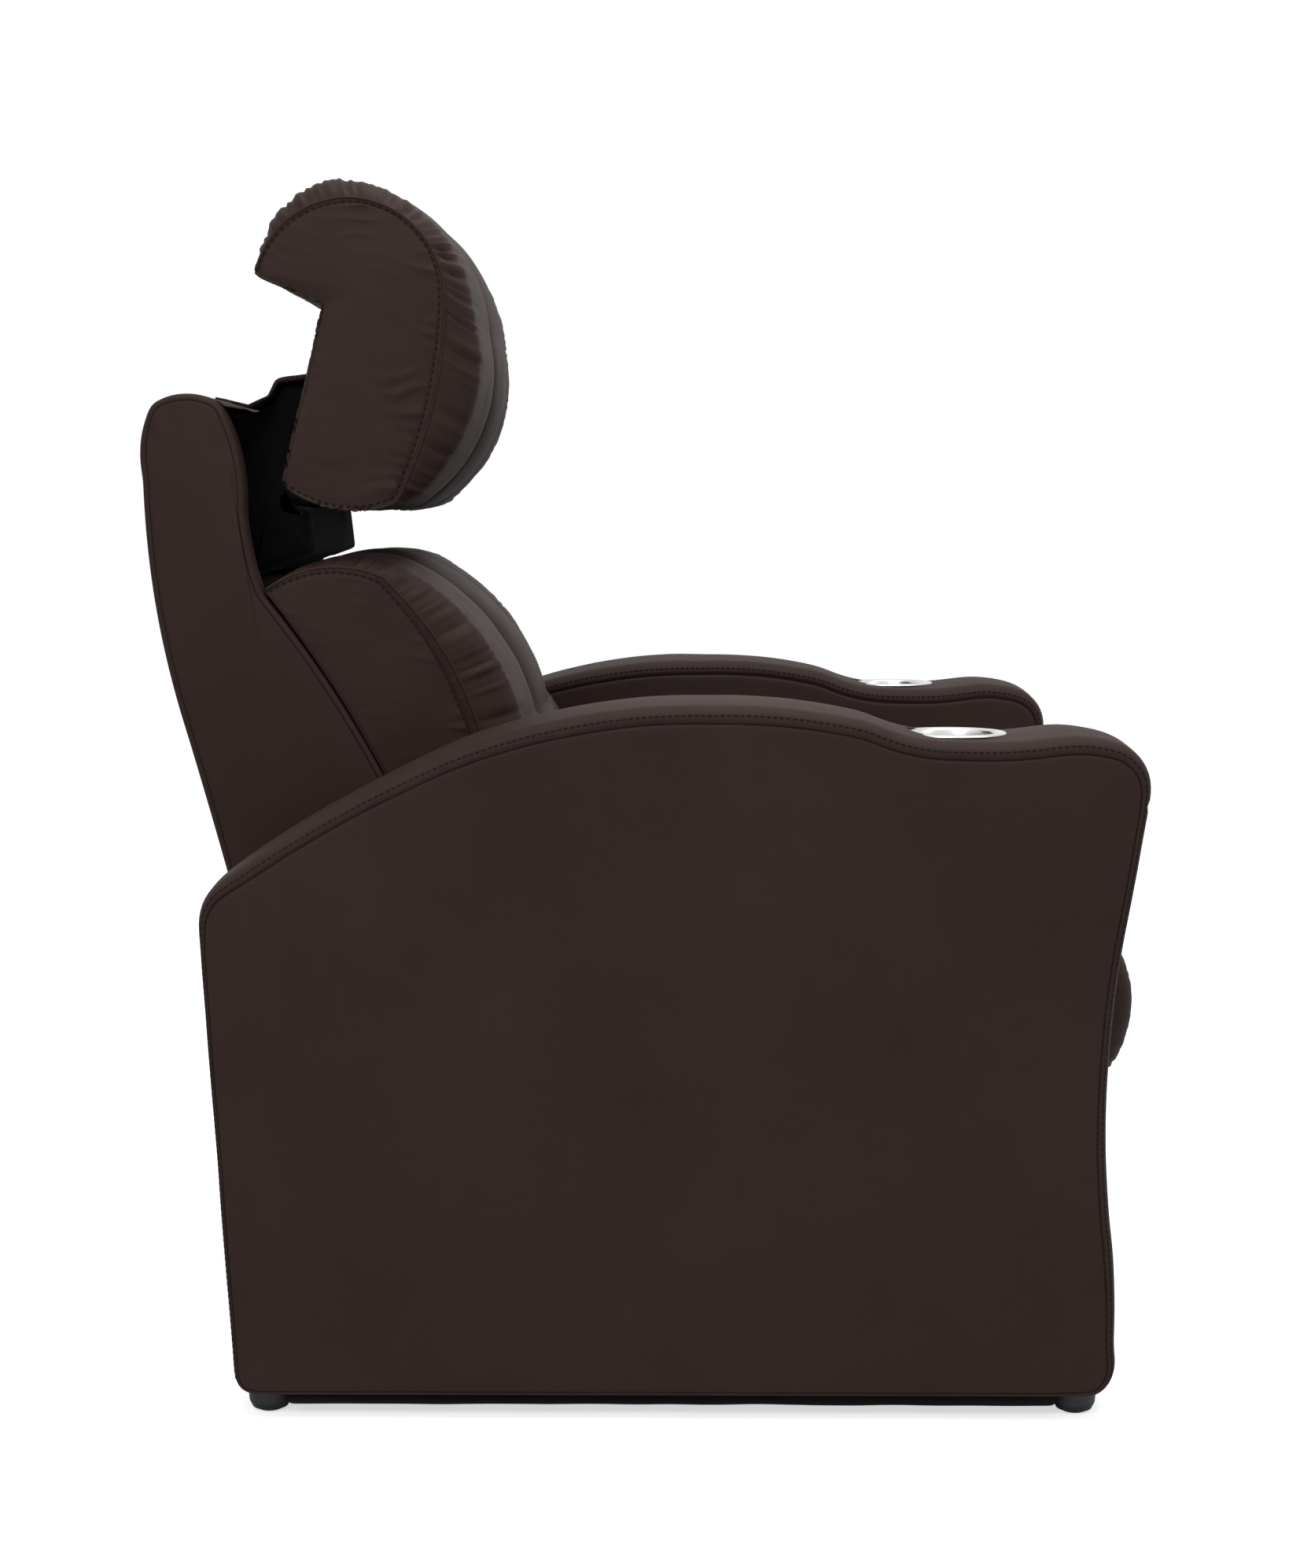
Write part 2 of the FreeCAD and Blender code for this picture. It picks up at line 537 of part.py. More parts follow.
def yoke(x, centre, low, high, body_z, slack):
    """Sliding nut on the drive tube with an upright fork that takes the crank pin.

    The fork reaches from below the lowest pin position to above the highest one.
    """
    body = box(x - 15, x + 15, centre - 22, centre + 22, body_z - 16, body_z + 16)
    fork = box(x - 6, x + 6, centre - PIN_R - 10, centre + PIN_R + 10, body_z, high + PIN_R + 3)
    way = box(x - 8, x + 8, centre - PIN_R - slack, centre + PIN_R + slack, low - PIN_R - 2, high + 20)
    bore = rod_s(x, centre - 40, centre + 40, body_z, DRIVE_TUBE_R + RUN_CLEAR)
    return body.fuse(fork).cut(bore).cut(way).removeSplitter()


# A nut moves in step with its crank's angle while the pin moves with the sine of it. The lag is what
# the nut's even travel leaves behind the pin at both ends.
FOOT_DRIVE_Z = 205.0
FOOT_LAG = 1.5
FOOT_FORK_SLACK = 2.0
foot_nut = yoke(FOOT_DRIVE_X, foot_pin[0] - FOOT_LAG, FOOT_B[1] - FOOT_CRANK, foot_pin[1],
                FOOT_DRIVE_Z, FOOT_FORK_SLACK)
save("footrest_drive_nut", foot_nut)

RECLINE_DRIVE_Z = 236.0
RECLINE_FORK_SLACK = 0.6
recline_pin = polar(BACK_PIVOT, RECLINE_ARM, -90.0 - RECLINE / 2)
recline_nut = yoke(RECLINE_X, recline_pin[0], BACK_PIVOT[1] - RECLINE_ARM, recline_pin[1],
                   RECLINE_DRIVE_Z, RECLINE_FORK_SLACK)
save("recline_drive_nut", recline_nut)


def drive_motor(x, s0, s1, z, motor_s, motor_down):
    """Guide tube, gearbox block at one end and the motor standing across it."""
    tube = rod_s(x, s0, s1, z, DRIVE_TUBE_R)
    gearbox = box(x - 24, x + 24, min(motor_s, motor_s + 46), max(motor_s, motor_s + 46), z - 24, z + 24)
    motor = rod_z(x, motor_s + 23, z - 24 - motor_down, z - 24, 21)
    return tube, gearbox.fuse(motor).removeSplitter()


foot_motor_s = MID_TUBE[0] + 44
foot_end_s = FOOT_H[0] - 33
recline_end_s = REAR_TUBE[0] - 35
recline_motor_s = -110
foot_tube, foot_motor = drive_motor(FOOT_DRIVE_X, foot_motor_s + 46, foot_end_s, FOOT_DRIVE_Z, foot_motor_s, 66)
recline_tube, recline_motor = drive_motor(RECLINE_X, recline_end_s, recline_motor_s, RECLINE_DRIVE_Z,
                                          recline_motor_s, 74)
save("footrest_actuator", foot_tube, foot_motor)
save("recline_actuator", recline_tube, recline_motor)

HANGER = 5.0
foot_hanger = box(FOOT_DRIVE_X - 20, FOOT_DRIVE_X + 20, foot_end_s, foot_end_s + HANGER,
                  FOOT_DRIVE_Z - 20, SEAT_FRAME_BOTTOM)
foot_hanger_top = box(FOOT_DRIVE_X - 20, FOOT_DRIVE_X + 20, foot_end_s - 20, foot_end_s + HANGER,
                      SEAT_FRAME_BOTTOM - HANGER, SEAT_FRAME_BOTTOM)
foot_rear = box(FOOT_DRIVE_X - 24, FOOT_DRIVE_X + 24, MID_TUBE[0] + 12, foot_motor_s,
                MID_TUBE[1] - 12, MID_TUBE[1] + 12)
foot_rear = foot_rear.fuse(box(FOOT_DRIVE_X - 24, FOOT_DRIVE_X + 24, foot_motor_s - HANGER, foot_motor_s,
                               MID_TUBE[1] - 12, FOOT_DRIVE_Z + 20))
recline_rear = box(RECLINE_X - 20, RECLINE_X + 20, recline_end_s - HANGER, recline_end_s,
                   REAR_TUBE[1] - 12, RECLINE_DRIVE_Z + 20)
recline_rear = recline_rear.fuse(box(RECLINE_X - 20, RECLINE_X + 20, recline_end_s, REAR_TUBE[0] - 12,
                                     REAR_TUBE[1] - 12, REAR_TUBE[1] - 6))
recline_top = box(RECLINE_X - 24, RECLINE_X + 24, FRAME_S[0], recline_motor_s + 46,
                  SEAT_FRAME_BOTTOM - HANGER, SEAT_FRAME_BOTTOM)
recline_drop = box(RECLINE_X - 24, RECLINE_X + 24, recline_motor_s + 46, recline_motor_s + 46 + HANGER,
                   RECLINE_DRIVE_Z - 20, SEAT_FRAME_BOTTOM)
save("drive_hangers", foot_hanger.fuse(foot_hanger_top).removeSplitter(), foot_rear.removeSplitter(),
     recline_rear.removeSplitter(), recline_top.fuse(recline_drop).removeSplitter())

# Pivots that belong to the carriage
RECLINE_PLATE_X = SIDE_PLATE_X + PLATE + LINK_GAP
BACK_PLATE = 5.0
back_bolt = rod_x(SIDE_PLATE_X, RECLINE_PLATE_X + BACK_PLATE - HEAD_GAP, BACK_PIVOT, BACK_PIN_R)
back_bolt = back_bolt.fuse([
    rod_x(SIDE_PLATE_X - 5, SIDE_PLATE_X, BACK_PIVOT, BACK_PIN_R + 4),
    rod_x(SIDE_PLATE_X + PLATE, RECLINE_PLATE_X - HEAD_GAP, BACK_PIVOT, BACK_PIN_R + 4),
]).removeSplitter()
save("carriage_pivots", *both(back_bolt, rivet(FOOT_A, SIDE_PLATE_X, second)))

# Back: frame
MID_RAIL = (-469.0, -454.0, 720.0, 750.0)
TOP_RAIL_Z = 946.0
TOP_RAIL_HEIGHT = 24.0
WING_THICK = 30.0
WING_X = BACK_HALF - WING_THICK
STILE_X = (RECLINE_PLATE_X + BACK_PLATE, WING_X)
stile = slab(
    *STILE_X,
    (-484, 972), (-486, 880), (-462, 705), (-397, 470), (-352, 330), (-300, 330), (-258, 396), (-224, 480),
    (-330, 672), (-408, 800), (-430, 900), (-446, 972),
)
top_rail = box(-STILE_X[0], STILE_X[0], -484, -446, TOP_RAIL_Z, TOP_RAIL_Z + TOP_RAIL_HEIGHT)
mid_rail = box(-STILE_X[0], STILE_X[0], *MID_RAIL)
low_rail = box(-STILE_X[0], STILE_X[0], -352, -326, 396, 430)
save("back_frame", *both(stile), top_rail, mid_rail, low_rail)

recline_bracket = bar(RECLINE_PLATE_X, RECLINE_PLATE_X + BACK_PLATE, 18.0, BACK_PIVOT, (-300.0, 470.0))
recline_bracket = recline_bracket.cut(rod_x(0, 300, BACK_PIVOT, BACK_PIN_R + RUN_CLEAR))
crank_cheeks = []
for x0 in (RECLINE_X - 10 - PLATE, RECLINE_X + 10):
    cheek = slab(x0, x0 + PLATE, (-352, 396), (-326, 396), (recline_pin[0] + 10, recline_pin[1] + 8),
                 ((recline_pin[0], recline_pin[1] - 10), (recline_pin[0] - 10, recline_pin[1] + 8)))
    crank_cheeks.append(cheek)
recline_crank = crank_cheeks[0].fuse([crank_cheeks[1], rod_x(RECLINE_X - 10, RECLINE_X + 10, recline_pin, PIN_R)])
save("recline_brackets", *both(recline_bracket), recline_crank.removeSplitter())

# Back: padded shell
WING_EDGE = 10.0


def wing_outline(x, i=0.0):
    """Side view of the back: bowed rear, short top, and the front edge that sweeps to the seat."""
    return wire(
        x,
        (-378 + i, 300 + i),
        ((-428 + i, 508), (-469 + i, 658)),
        ((-501 + i, 810), (-508 + i, 912)),
        ((-506.2 + i, 966), (-498 + i, 986.5 - i)),
        ((-464, 997 - i), (-428 - i / 2, 987 - i)),
        ((-418 - i, 965), (-405 - i, 879)),
        ((-400 - i, 840), (-388 - i, 797)),
        ((-322 - i, 706), (-264 - i, 606)),
        ((-226 - i, 540), (-204 - i, 478 + i)),
        (-258 - i, 392 + i),
        (-300 - i, 312 + i),
    )


wing_steps = (0.0, 0.3, 1.0)
wing_sections = [(WING_X, 0.0)]
for t in reversed(wing_steps):
    inset = WING_EDGE * (1 - math.sqrt(1 - (1 - t) ** 2))
    wing_sections.append((BACK_HALF - WING_EDGE * t, inset))
wing = Part.makeLoft([wing_outline(x, i) for x, i in wing_sections], True, True)
save_pair("back_wing", wing)

REAR_FOAM = 14.0
rear_skin = slab(
    -WING_X, WING_X,
    (-378, 300), ((-428, 508), (-469, 658)), ((-501, 810), (-508, 912)), ((-508, 925), (-507.5, 938)),
    (-507.5 + REAR_FOAM, 938), (-508 + REAR_FOAM, 912), ((-501 + REAR_FOAM, 810), (-469 + REAR_FOAM, 658)),
    ((-428 + REAR_FOAM, 508), (-378 + REAR_FOAM, 300)),
)
save("back_rear_panel", rear_skin)

top_cap = slab(
    -WING_X, WING_X,
    (-507.5, 938), ((-506.2, 966), (-498, 986.5)), ((-464, 997), (-432, 986)), (-432, 972), (-493.5, 972), (-493.5, 938),
)
save("back_top_cap", top_cap)

WELL_HALF = STILE_X[0]
well = box(-WELL_HALF, WELL_HALF, -484, -480, 804, 940)
for side in (1, -1):
    x0, x1 = sorted((side * WELL_HALF, side * (WELL_HALF - 4)))
    well = well.fuse(slab(x0, x1, (-484, 804), (-484, 940), (-440, 940), (-414, 830), (-416, 804)))
save("back_well_lining", well.removeSplitter())

# Lumbar cushion
lumbar_side = [
    (-387, 800.3), ((-331, 819), (-284, 806)), ((-229, 738), (-184, 652)),
    ((-136, 566), (-124, 495)), ((-150, 488), (-203, 487)), ((-225.1, 539.4), (-263.1, 607.4)), ((-321.1, 707.3), (-387, 800.3)),
]
lumbar_middle = [
    (-387, 802.3), ((-318, 836), (-248, 830)), ((-172, 778), (-112, 668)),
    ((-78, 590), (-92, 503)), ((-140, 492), (-203, 487)), ((-225.1, 539.4), (-263.1, 607.4)), ((-321.1, 707.3), (-387, 802.3)),
]
LUMBAR_HALF = BACK_HALF - 4
save("lumbar_cushion", cushion(LUMBAR_HALF, lumbar_side, lumbar_middle, 24, 0.42))

# Headrest linkage in the well
ground_x = HEAD_PLATE_X
inner_link_x = ground_x - LINK_GAP - PLATE
inner_plate_x = inner_link_x - LINK_GAP - PLATE
outer_link_x = ground_x + PLATE + LINK_GAP
outer_plate_x = outer_link_x + PLATE + LINK_GAP

ground = slab(
    ground_x, ground_x + PLATE,
    (MID_RAIL[0], MID_RAIL[3]), (MID_RAIL[1], MID_RAIL[3]), (-430, 884), ((-404, 890), (-410, 906)),
    (-446, 942), (-446, TOP_RAIL_Z), (-476, TOP_RAIL_Z), (-476, 800),
)
ground = drilled(ground, ground_x, (HEAD_G1, PIN_R), (HEAD_G2, HEAD_TUBE_R + RUN_CLEAR))
save("headrest_mounts", *both(ground, rivet(HEAD_G1, ground_x, inner_link_x)))

lift_link = bar(inner_link_x, inner_link_x + PLATE, LINK_HALF, HEAD_G1, HEAD_P1)
lift_link = drilled(lift_link, inner_link_x, (HEAD_G1, hole), (HEAD_P1, hole))
save("headrest_front_links", *both(lift_link))

guide_link = bar(outer_link_x, outer_link_x + PLATE, LINK_HALF, HEAD_G2, HEAD_P2)
guide_link = drilled(guide_link, outer_link_x, (HEAD_G2, HEAD_TUBE_R), (HEAD_P2, PIN_R + P2_PLAY))
head_shaft = rod_x(-outer_link_x - PLATE, outer_link_x + PLATE, HEAD_G2, HEAD_TUBE_R)
head_crank, head_pin = crank(0.0, HEAD_G2, HEAD_TUBE_R, HEAD_CRANK, HEAD_CRANK_LEAN, HEAD_PIN_R)
save("headrest_rear_links", *both(guide_link))
save("headrest_shaft", head_shaft.fuse(head_crank).removeSplitter())

# Headrest cushion, board and brackets
HEAD_REAR_LOW = (-367.0, 906.0)
HEAD_NOTCH = (-323.0, 1084.0)
head_side = [
    HEAD_REAR_LOW, HEAD_NOTCH, (-391, 1114), ((-362, 1156), (-299, 1180)), ((-231, 1152), (-208, 1088)),
    ((-219, 1004), (-254, 890)), ((-311, 882), HEAD_REAR_LOW),
]
head_middle = [
    HEAD_REAR_LOW, HEAD_NOTCH, (-394, 1117), ((-372, 1184), (-316, 1219)), ((-212, 1172), (-163, 1060)),
    ((-171, 960), (-240, 886)), ((-309, 883), HEAD_REAR_LOW),
]
BOARD_T = 12.0
rear_len = math.dist(HEAD_REAR_LOW, HEAD_NOTCH)
rear_u = ((HEAD_NOTCH[0] - HEAD_REAR_LOW[0]) / rear_len, (HEAD_NOTCH[1] - HEAD_REAR_LOW[1]) / rear_len)
rear_n = (rear_u[1], -rear_u[0])


def on_rear(along, inward):
    return (HEAD_REAR_LOW[0] + rear_u[0] * along + rear_n[0] * inward,
            HEAD_REAR_LOW[1] + rear_u[1] * along + rear_n[1] * inward)


HEAD_BOARD_HALF = 150.0
head_board = slab(-HEAD_BOARD_HALF, HEAD_BOARD_HALF, on_rear(14, 0), on_rear(150, 0), on_rear(150, BOARD_T),
                  on_rear(14, BOARD_T))
head_cushion = cushion(BACK_HALF, head_side, head_middle, 26, 0.30).cut(head_board)
save("headrest_board", head_board)
save("headrest_cushion", head_cushion)

front_arm = slab(inner_plate_x, inner_plate_x + PLATE, on_rear(16, 0), on_rear(56, 0),
                 (HEAD_P1[0] - 6, HEAD_P1[1] + 9), (HEAD_P1[0] - 10, HEAD_P1[1] - 4))
front_arm = drilled(front_arm, inner_plate_x, (HEAD_P1, PIN_R))
rear_arm = slab(outer_plate_x, outer_plate_x + PLATE, on_rear(30, 0), on_rear(98, 0),
                (HEAD_P2[0] - 2, HEAD_P2[1] + 11), (HEAD_P2[0] - 9, HEAD_P2[1] - 7))
rear_arm = drilled(rear_arm, outer_plate_x, (HEAD_P2, PIN_R))
lift_rivet = rivet(HEAD_P1, inner_plate_x, inner_link_x)
guide_rivet = rivet(HEAD_P2, outer_plate_x, outer_link_x)
save("headrest_brackets", *both(front_arm, lift_rivet, rear_arm, guide_rivet))

# Headrest drive, upright in the back
HEAD_DRIVE_S = -440.0
HEAD_TUBE_Z = (700.0, 872.0)
HEAD_DRIVE_R = 7.0
head_tube = rod_z(0, HEAD_DRIVE_S, *HEAD_TUBE_Z, HEAD_DRIVE_R)
head_gear = box(-22, 22, HEAD_DRIVE_S - 10, HEAD_DRIVE_S + 30, HEAD_TUBE_Z[0] - 36, HEAD_TUBE_Z[0])
head_motor = rod_x(22, 96, (HEAD_DRIVE_S + 10, HEAD_TUBE_Z[0] - 18), 17)
head_hanger = box(-20, 20, MID_RAIL[1], HEAD_DRIVE_S - 10, HEAD_TUBE_Z[0] - 36, MID_RAIL[3])

HEAD_FORK_SLACK = 0.6
HEAD_NUT_DROP = 98.0            # from the crank pin down to the nut
nut_z = head_pin[1] - HEAD_NUT_DROP
fork_z = head_pin[1]
fork_half = HEAD_PIN_R + HEAD_FORK_SLACK
pin_front = HEAD_G2[0] + HEAD_CRANK
head_nut = box(-13, 13, HEAD_DRIVE_S - 13, HEAD_DRIVE_S + 13, nut_z - 18, nut_z + 18)
blade = box(-5, 5, pin_front, pin_front + 12, nut_z, fork_z + fork_half + 3)
blade = blade.fuse(box(-5, 5, head_pin[0] - 5, pin_front + 12, fork_z - fork_half - 8, fork_z + fork_half + 3))
way = box(-8, 8, head_pin[0] - 10, pin_front + HEAD_PIN_R + 1, fork_z - fork_half, fork_z + fork_half)
bore = rod_z(0, HEAD_DRIVE_S, nut_z - 60, fork_z - fork_half - 9, HEAD_DRIVE_R + RUN_CLEAR)
head_nut = head_nut.fuse(blade).cut(bore).cut(way)
save("headrest_actuator", head_tube, head_gear.fuse(head_motor).removeSplitter(), head_hanger)
save("headrest_drive_nut", head_nut.removeSplitter())

# Cloth boot and leather flap between the back and the headrest
BOOT_HALF = WELL_HALF - 22.0
CLOTH = 2.0
boot_profile = [
    (-414, 812), (-347, 836), (-352, 882), on_rear(-22, -3), on_rear(106, -3), (-377, 1008),
    (-385.5, 992), (-405, 981), (-431.7, 976),
]
boot_outer = slab(-BOOT_HALF, BOOT_HALF, *boot_profile)
boot_hollow = slab(-BOOT_HALF + CLOTH, BOOT_HALF - CLOTH, (-424, 800), (-349, 826), (-354, 884),
                   on_rear(-30, 2), on_rear(97, 2), (-375, 1005), (-384, 989.5), (-404, 978.5), (-440, 968))
boot = boot_outer.cut(boot_hollow)
save("headrest_boot", boot)
flap = slab(
    -BACK_HALF + 8, BACK_HALF - 8,
    on_rear(171, -3.3), on_rear(108.5, -3.3), (-377.9, 1009.4), (-386.2, 992.6), (-405.3, 981.7), (-424, 988.5),
    (-431.6, 990.6), (-436, 993.4), (-425, 991.8), (-406.2, 985.5), (-389, 996), (-380.8, 1012.8),
    on_rear(112, -6.5), on_rear(176, -6),
)
save("headrest_flap", flap)
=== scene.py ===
import math

import bmesh
import bpy
import numpy as np
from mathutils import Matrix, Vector, noise


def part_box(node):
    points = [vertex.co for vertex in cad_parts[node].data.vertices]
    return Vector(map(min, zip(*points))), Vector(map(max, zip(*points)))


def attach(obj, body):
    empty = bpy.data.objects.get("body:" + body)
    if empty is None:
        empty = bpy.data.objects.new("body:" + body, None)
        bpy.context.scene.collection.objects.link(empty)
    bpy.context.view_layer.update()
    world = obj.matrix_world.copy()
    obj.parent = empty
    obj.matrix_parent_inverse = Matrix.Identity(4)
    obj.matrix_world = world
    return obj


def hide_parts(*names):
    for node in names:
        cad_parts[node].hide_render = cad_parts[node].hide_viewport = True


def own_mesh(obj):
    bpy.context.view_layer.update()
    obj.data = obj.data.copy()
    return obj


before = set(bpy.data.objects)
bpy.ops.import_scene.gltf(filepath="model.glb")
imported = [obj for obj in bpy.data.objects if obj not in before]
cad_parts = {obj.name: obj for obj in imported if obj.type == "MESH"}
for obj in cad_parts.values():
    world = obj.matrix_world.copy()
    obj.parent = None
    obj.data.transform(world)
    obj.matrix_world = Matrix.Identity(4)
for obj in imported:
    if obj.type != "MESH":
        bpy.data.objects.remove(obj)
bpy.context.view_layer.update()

# Profiles are (s, z) in millimetres, s forward of the origin, so the world point is (x, -s, z).
MM = 0.001
HALF_SEAT = 280.0
ARM_OUT = 445.0
ARM_MIDDLE = (HALF_SEAT + ARM_OUT) / 2
HALF_ARM = (ARM_OUT - HALF_SEAT) / 2
ARM_BOTTOM = 23.0
BACK_HALF = 274.0
WING_IN = 244.0
PANEL_HALF = WING_IN - 0.5
CHANNEL_X = 92.0
TINY = 1e-9


def unit(vectors):
    return vectors / np.maximum(np.linalg.norm(vectors, axis=-1, keepdims=True), TINY)


# Outlines
def arc_points(a, m, b, n):
    """n points on the circle through a, m and b, from a up to but without b."""
    ax, ay, mx, my, bx, by = *a, *m, *b
    d = 2 * (ax * (my - by) + mx * (by - ay) + bx * (ay - my))
    if abs(d) < 1e-6:
        return [(ax + (bx - ax) * i / n, ay + (by - ay) * i / n) for i in range(n)]
    sa, sm, sb = ax * ax + ay * ay, mx * mx + my * my, bx * bx + by * by
    cx = (sa * (my - by) + sm * (by - ay) + sb * (ay - my)) / d
    cy = (sa * (bx - mx) + sm * (ax - bx) + sb * (mx - ax)) / d
    r = math.hypot(ax - cx, ay - cy)
    t0 = math.atan2(ay - cy, ax - cx)
    tm = math.atan2(my - cy, mx - cx)
    t1 = math.atan2(by - cy, bx - cx)
    span = (t1 - t0) % (2 * math.pi)
    if (tm - t0) % (2 * math.pi) > span:
        span -= 2 * math.pi
    angles = [t0 + span * i / n for i in range(n)]
    return [(cx + r * math.cos(a), cy + r * math.sin(a)) for a in angles]


def trace(moves, counts=None, step=5.0):
    """Closed loop from points (straight to) and pairs of points (arc through, to)."""
    here = moves[0]
    loop, used = [], []
    for k, move in enumerate(list(moves[1:]) + [moves[0]]):
        if isinstance(move[0], tuple):
            mid, end = move
        else:
            mid, end = ((here[0] + move[0]) / 2, (here[1] + move[1]) / 2), move
        length = math.dist(here, mid) + math.dist(mid, end)
        n = counts[k] if counts else max(1, round(length / step))
        if length > 1e-6:
            loop += arc_points(here, mid, end, n)
        used.append(n)
        here = end
    return np.array(loop), used


def resample(points, n, closed=True):
    """n points evenly spaced along a line or loop."""
    pts = np.asarray(points, float)
    if closed:
        pts = np.vstack([pts, pts[:1]])
    seg = np.linalg.norm(np.diff(pts, axis=0), axis=1)
    at = np.concatenate([[0], np.cumsum(seg)])
    want = np.linspace(0, at[-1], n, endpoint=not closed)
    return np.stack([np.interp(want, at, pts[:, k]) for k in range(pts.shape[1])], 1)


def smooth_loop(pts, rounds):
    for _ in range(rounds):
        pts = 0.5 * pts + 0.25 * (np.roll(pts, 1, 0) + np.roll(pts, -1, 0))
    return pts


def ccw(pts):
    """The loop turned to run counter-clockwise."""
    area = np.sum(pts[:, 0] * np.roll(pts[:, 1], -1) - np.roll(pts[:, 0], -1) * pts[:, 1])
    return pts if area > 0 else pts[::-1]


def smooth_path(pts, rounds):
    for _ in range(rounds):
        pts = np.vstack([pts[:1], 0.5 * pts[1:-1] + 0.25 * (pts[2:] + pts[:-2]), pts[-1:]])
    return pts


def inward(pts):
    """Unit normals into a counter-clockwise loop."""
    t = unit(np.roll(pts, -1, 0) - np.roll(pts, 1, 0))
    return np.stack([-t[:, 1], t[:, 0]], 1)


def offset_loop(pts, d):
    """Loop moved inward by d, one value or one per point, with folds at tight corners relaxed."""
    n = unit(smooth_loop(inward(pts), rounds=2))
    out = pts + n * np.reshape(d, (-1, 1))
    for _ in range(6):
        fold = np.sum((np.roll(out, -1, 0) - out) * (np.roll(pts, -1, 0) - pts), axis=1) < 0
        if not fold.any():
            break
        near = fold | np.roll(fold, 1) | np.roll(fold, -1) | np.roll(fold, 2)
        out = np.where(near[:, None], smooth_loop(out, rounds=3), out)
    return out


# Meshes
def to_world(grid):
    """(rows, n, 3) of x, s, z in millimetres to metres in the frame."""
    return np.stack([grid[..., 0], -grid[..., 1], grid[..., 2]], -1) * MM


def grid_normals(grid):
    """Unit normals of a grid of closed rows, with one sign all over but not always outward."""
    du = np.roll(grid, -1, 1) - np.roll(grid, 1, 1)
    dv = np.gradient(grid, axis=0)
    return unit(np.cross(du, dv))


def outward_normals(grid, middle):
    """Unit normals of a grid, each turned away from a middle point."""
    n = grid_normals(grid)
    flip = np.sum(n * (grid - np.array(middle)), axis=-1, keepdims=True) < 0
    return np.where(flip, -n, n)


def make_object(name, verts, faces, material):
    mesh = bpy.data.meshes.new(name)
    mesh.from_pydata([tuple(v) for v in verts], [], faces)
    bm = bmesh.new()
    bm.from_mesh(mesh)
    bmesh.ops.remove_doubles(bm, verts=bm.verts, dist=1e-6)
    bmesh.ops.recalc_face_normals(bm, faces=bm.faces)
    for f in bm.faces:
        f.smooth = True
    bm.to_mesh(mesh)
    bm.free()
    obj = bpy.data.objects.new(name, mesh)
    bpy.context.scene.collection.objects.link(obj)
    mesh.materials.append(material)
    return obj


def tube_object(name, grid, material, thin=False, hub=None):
    """Closed skin over rows of loops.

    Each end closes to a point, at hub (s, z) where one is given, or straight across where the loops are
    thin strips.
    """
    rows, n = grid.shape[:2]
    world = to_world(grid)
    verts = list(world.reshape(-1, 3))
    faces = []
    for r in range(rows - 1):
        for i in range(n):
            j = (i + 1) % n
            faces.append((r * n + i, r * n + j, (r + 1) * n + j, (r + 1) * n + i))
    for row in (0, rows - 1):
        first = row * n
        if thin:
            end = first + n - 1
            faces += [(first + i, first + i + 1, end - i - 1, end - i) for i in range(n // 2 - 1)]
            continue
        middle = world[row].mean(0)
        if hub:
            middle = np.array([middle[0], -hub[0] * MM, hub[1] * MM])
        verts.append(middle)
        faces += [(first + i, first + (i + 1) % n, len(verts) - 1) for i in range(n)]
    return make_object(name, verts, faces, material)


def ride(obj, body, slot, *nodes):
    """Put a piece on its body, in place of the CAD nodes named; the slot is not used."""
    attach(obj, body)
    if nodes:
        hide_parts(*nodes)
    return obj


def ripple(at, waves, seed):
    """Sum of sines along a length, with fixed phases."""
    rng = np.random.default_rng(seed)
    total = np.zeros_like(at)
    for length in waves:
        total += np.sin(2 * np.pi * at / length + rng.uniform(0, 6.28)) / len(waves)
    return total


def field(points, scale, seed, stretch=(1, 1, 1)):
    """Smooth noise from -1 to 1 at points in millimetres."""
    flat = points.reshape(-1, 3) * (np.array(stretch) / scale)
    values = np.array([noise.noise(Vector(p) + Vector((seed, seed * 0.7, 0))) for p in flat])
    return values.reshape(points.shape[:-1])


# Stitches
STITCH_SIDES = 6
# Rings of one stitch: share of its length, share of its radius
STITCH_RINGS = ((-0.5, 0.25), (-0.36, 0.85), (0.0, 1.0), (0.36, 0.85), (0.5, 0.25))
STITCH_LIFT = 0.35
STITCH_HEIGHT = 0.8
STITCH_TURN = 1.0 * MM


def roll_ring(centre, across, up, radius, sides):
    """Points round one ring of a roll."""
    angles = [2 * math.pi * k / sides for k in range(sides)]
    return [centre + (across * math.cos(a) + up * math.sin(a)) * radius for a in angles]


def roll_faces(base, rings, sides, closed=False):
    """Faces of a roll whose rings' points start at base, with capped ends unless it is closed."""
    faces = []
    for i in range(rings if closed else rings - 1):
        p, q = base + i * sides, base + (i + 1) % rings * sides
        for k in range(sides):
            k2 = (k + 1) % sides
            faces.append((p + k, p + k2, q + k2, q + k))
    if not closed:
        faces.append(tuple(base + k for k in reversed(range(sides))))
        faces.append(tuple(base + (rings - 1) * sides + k for k in range(sides)))
    return faces


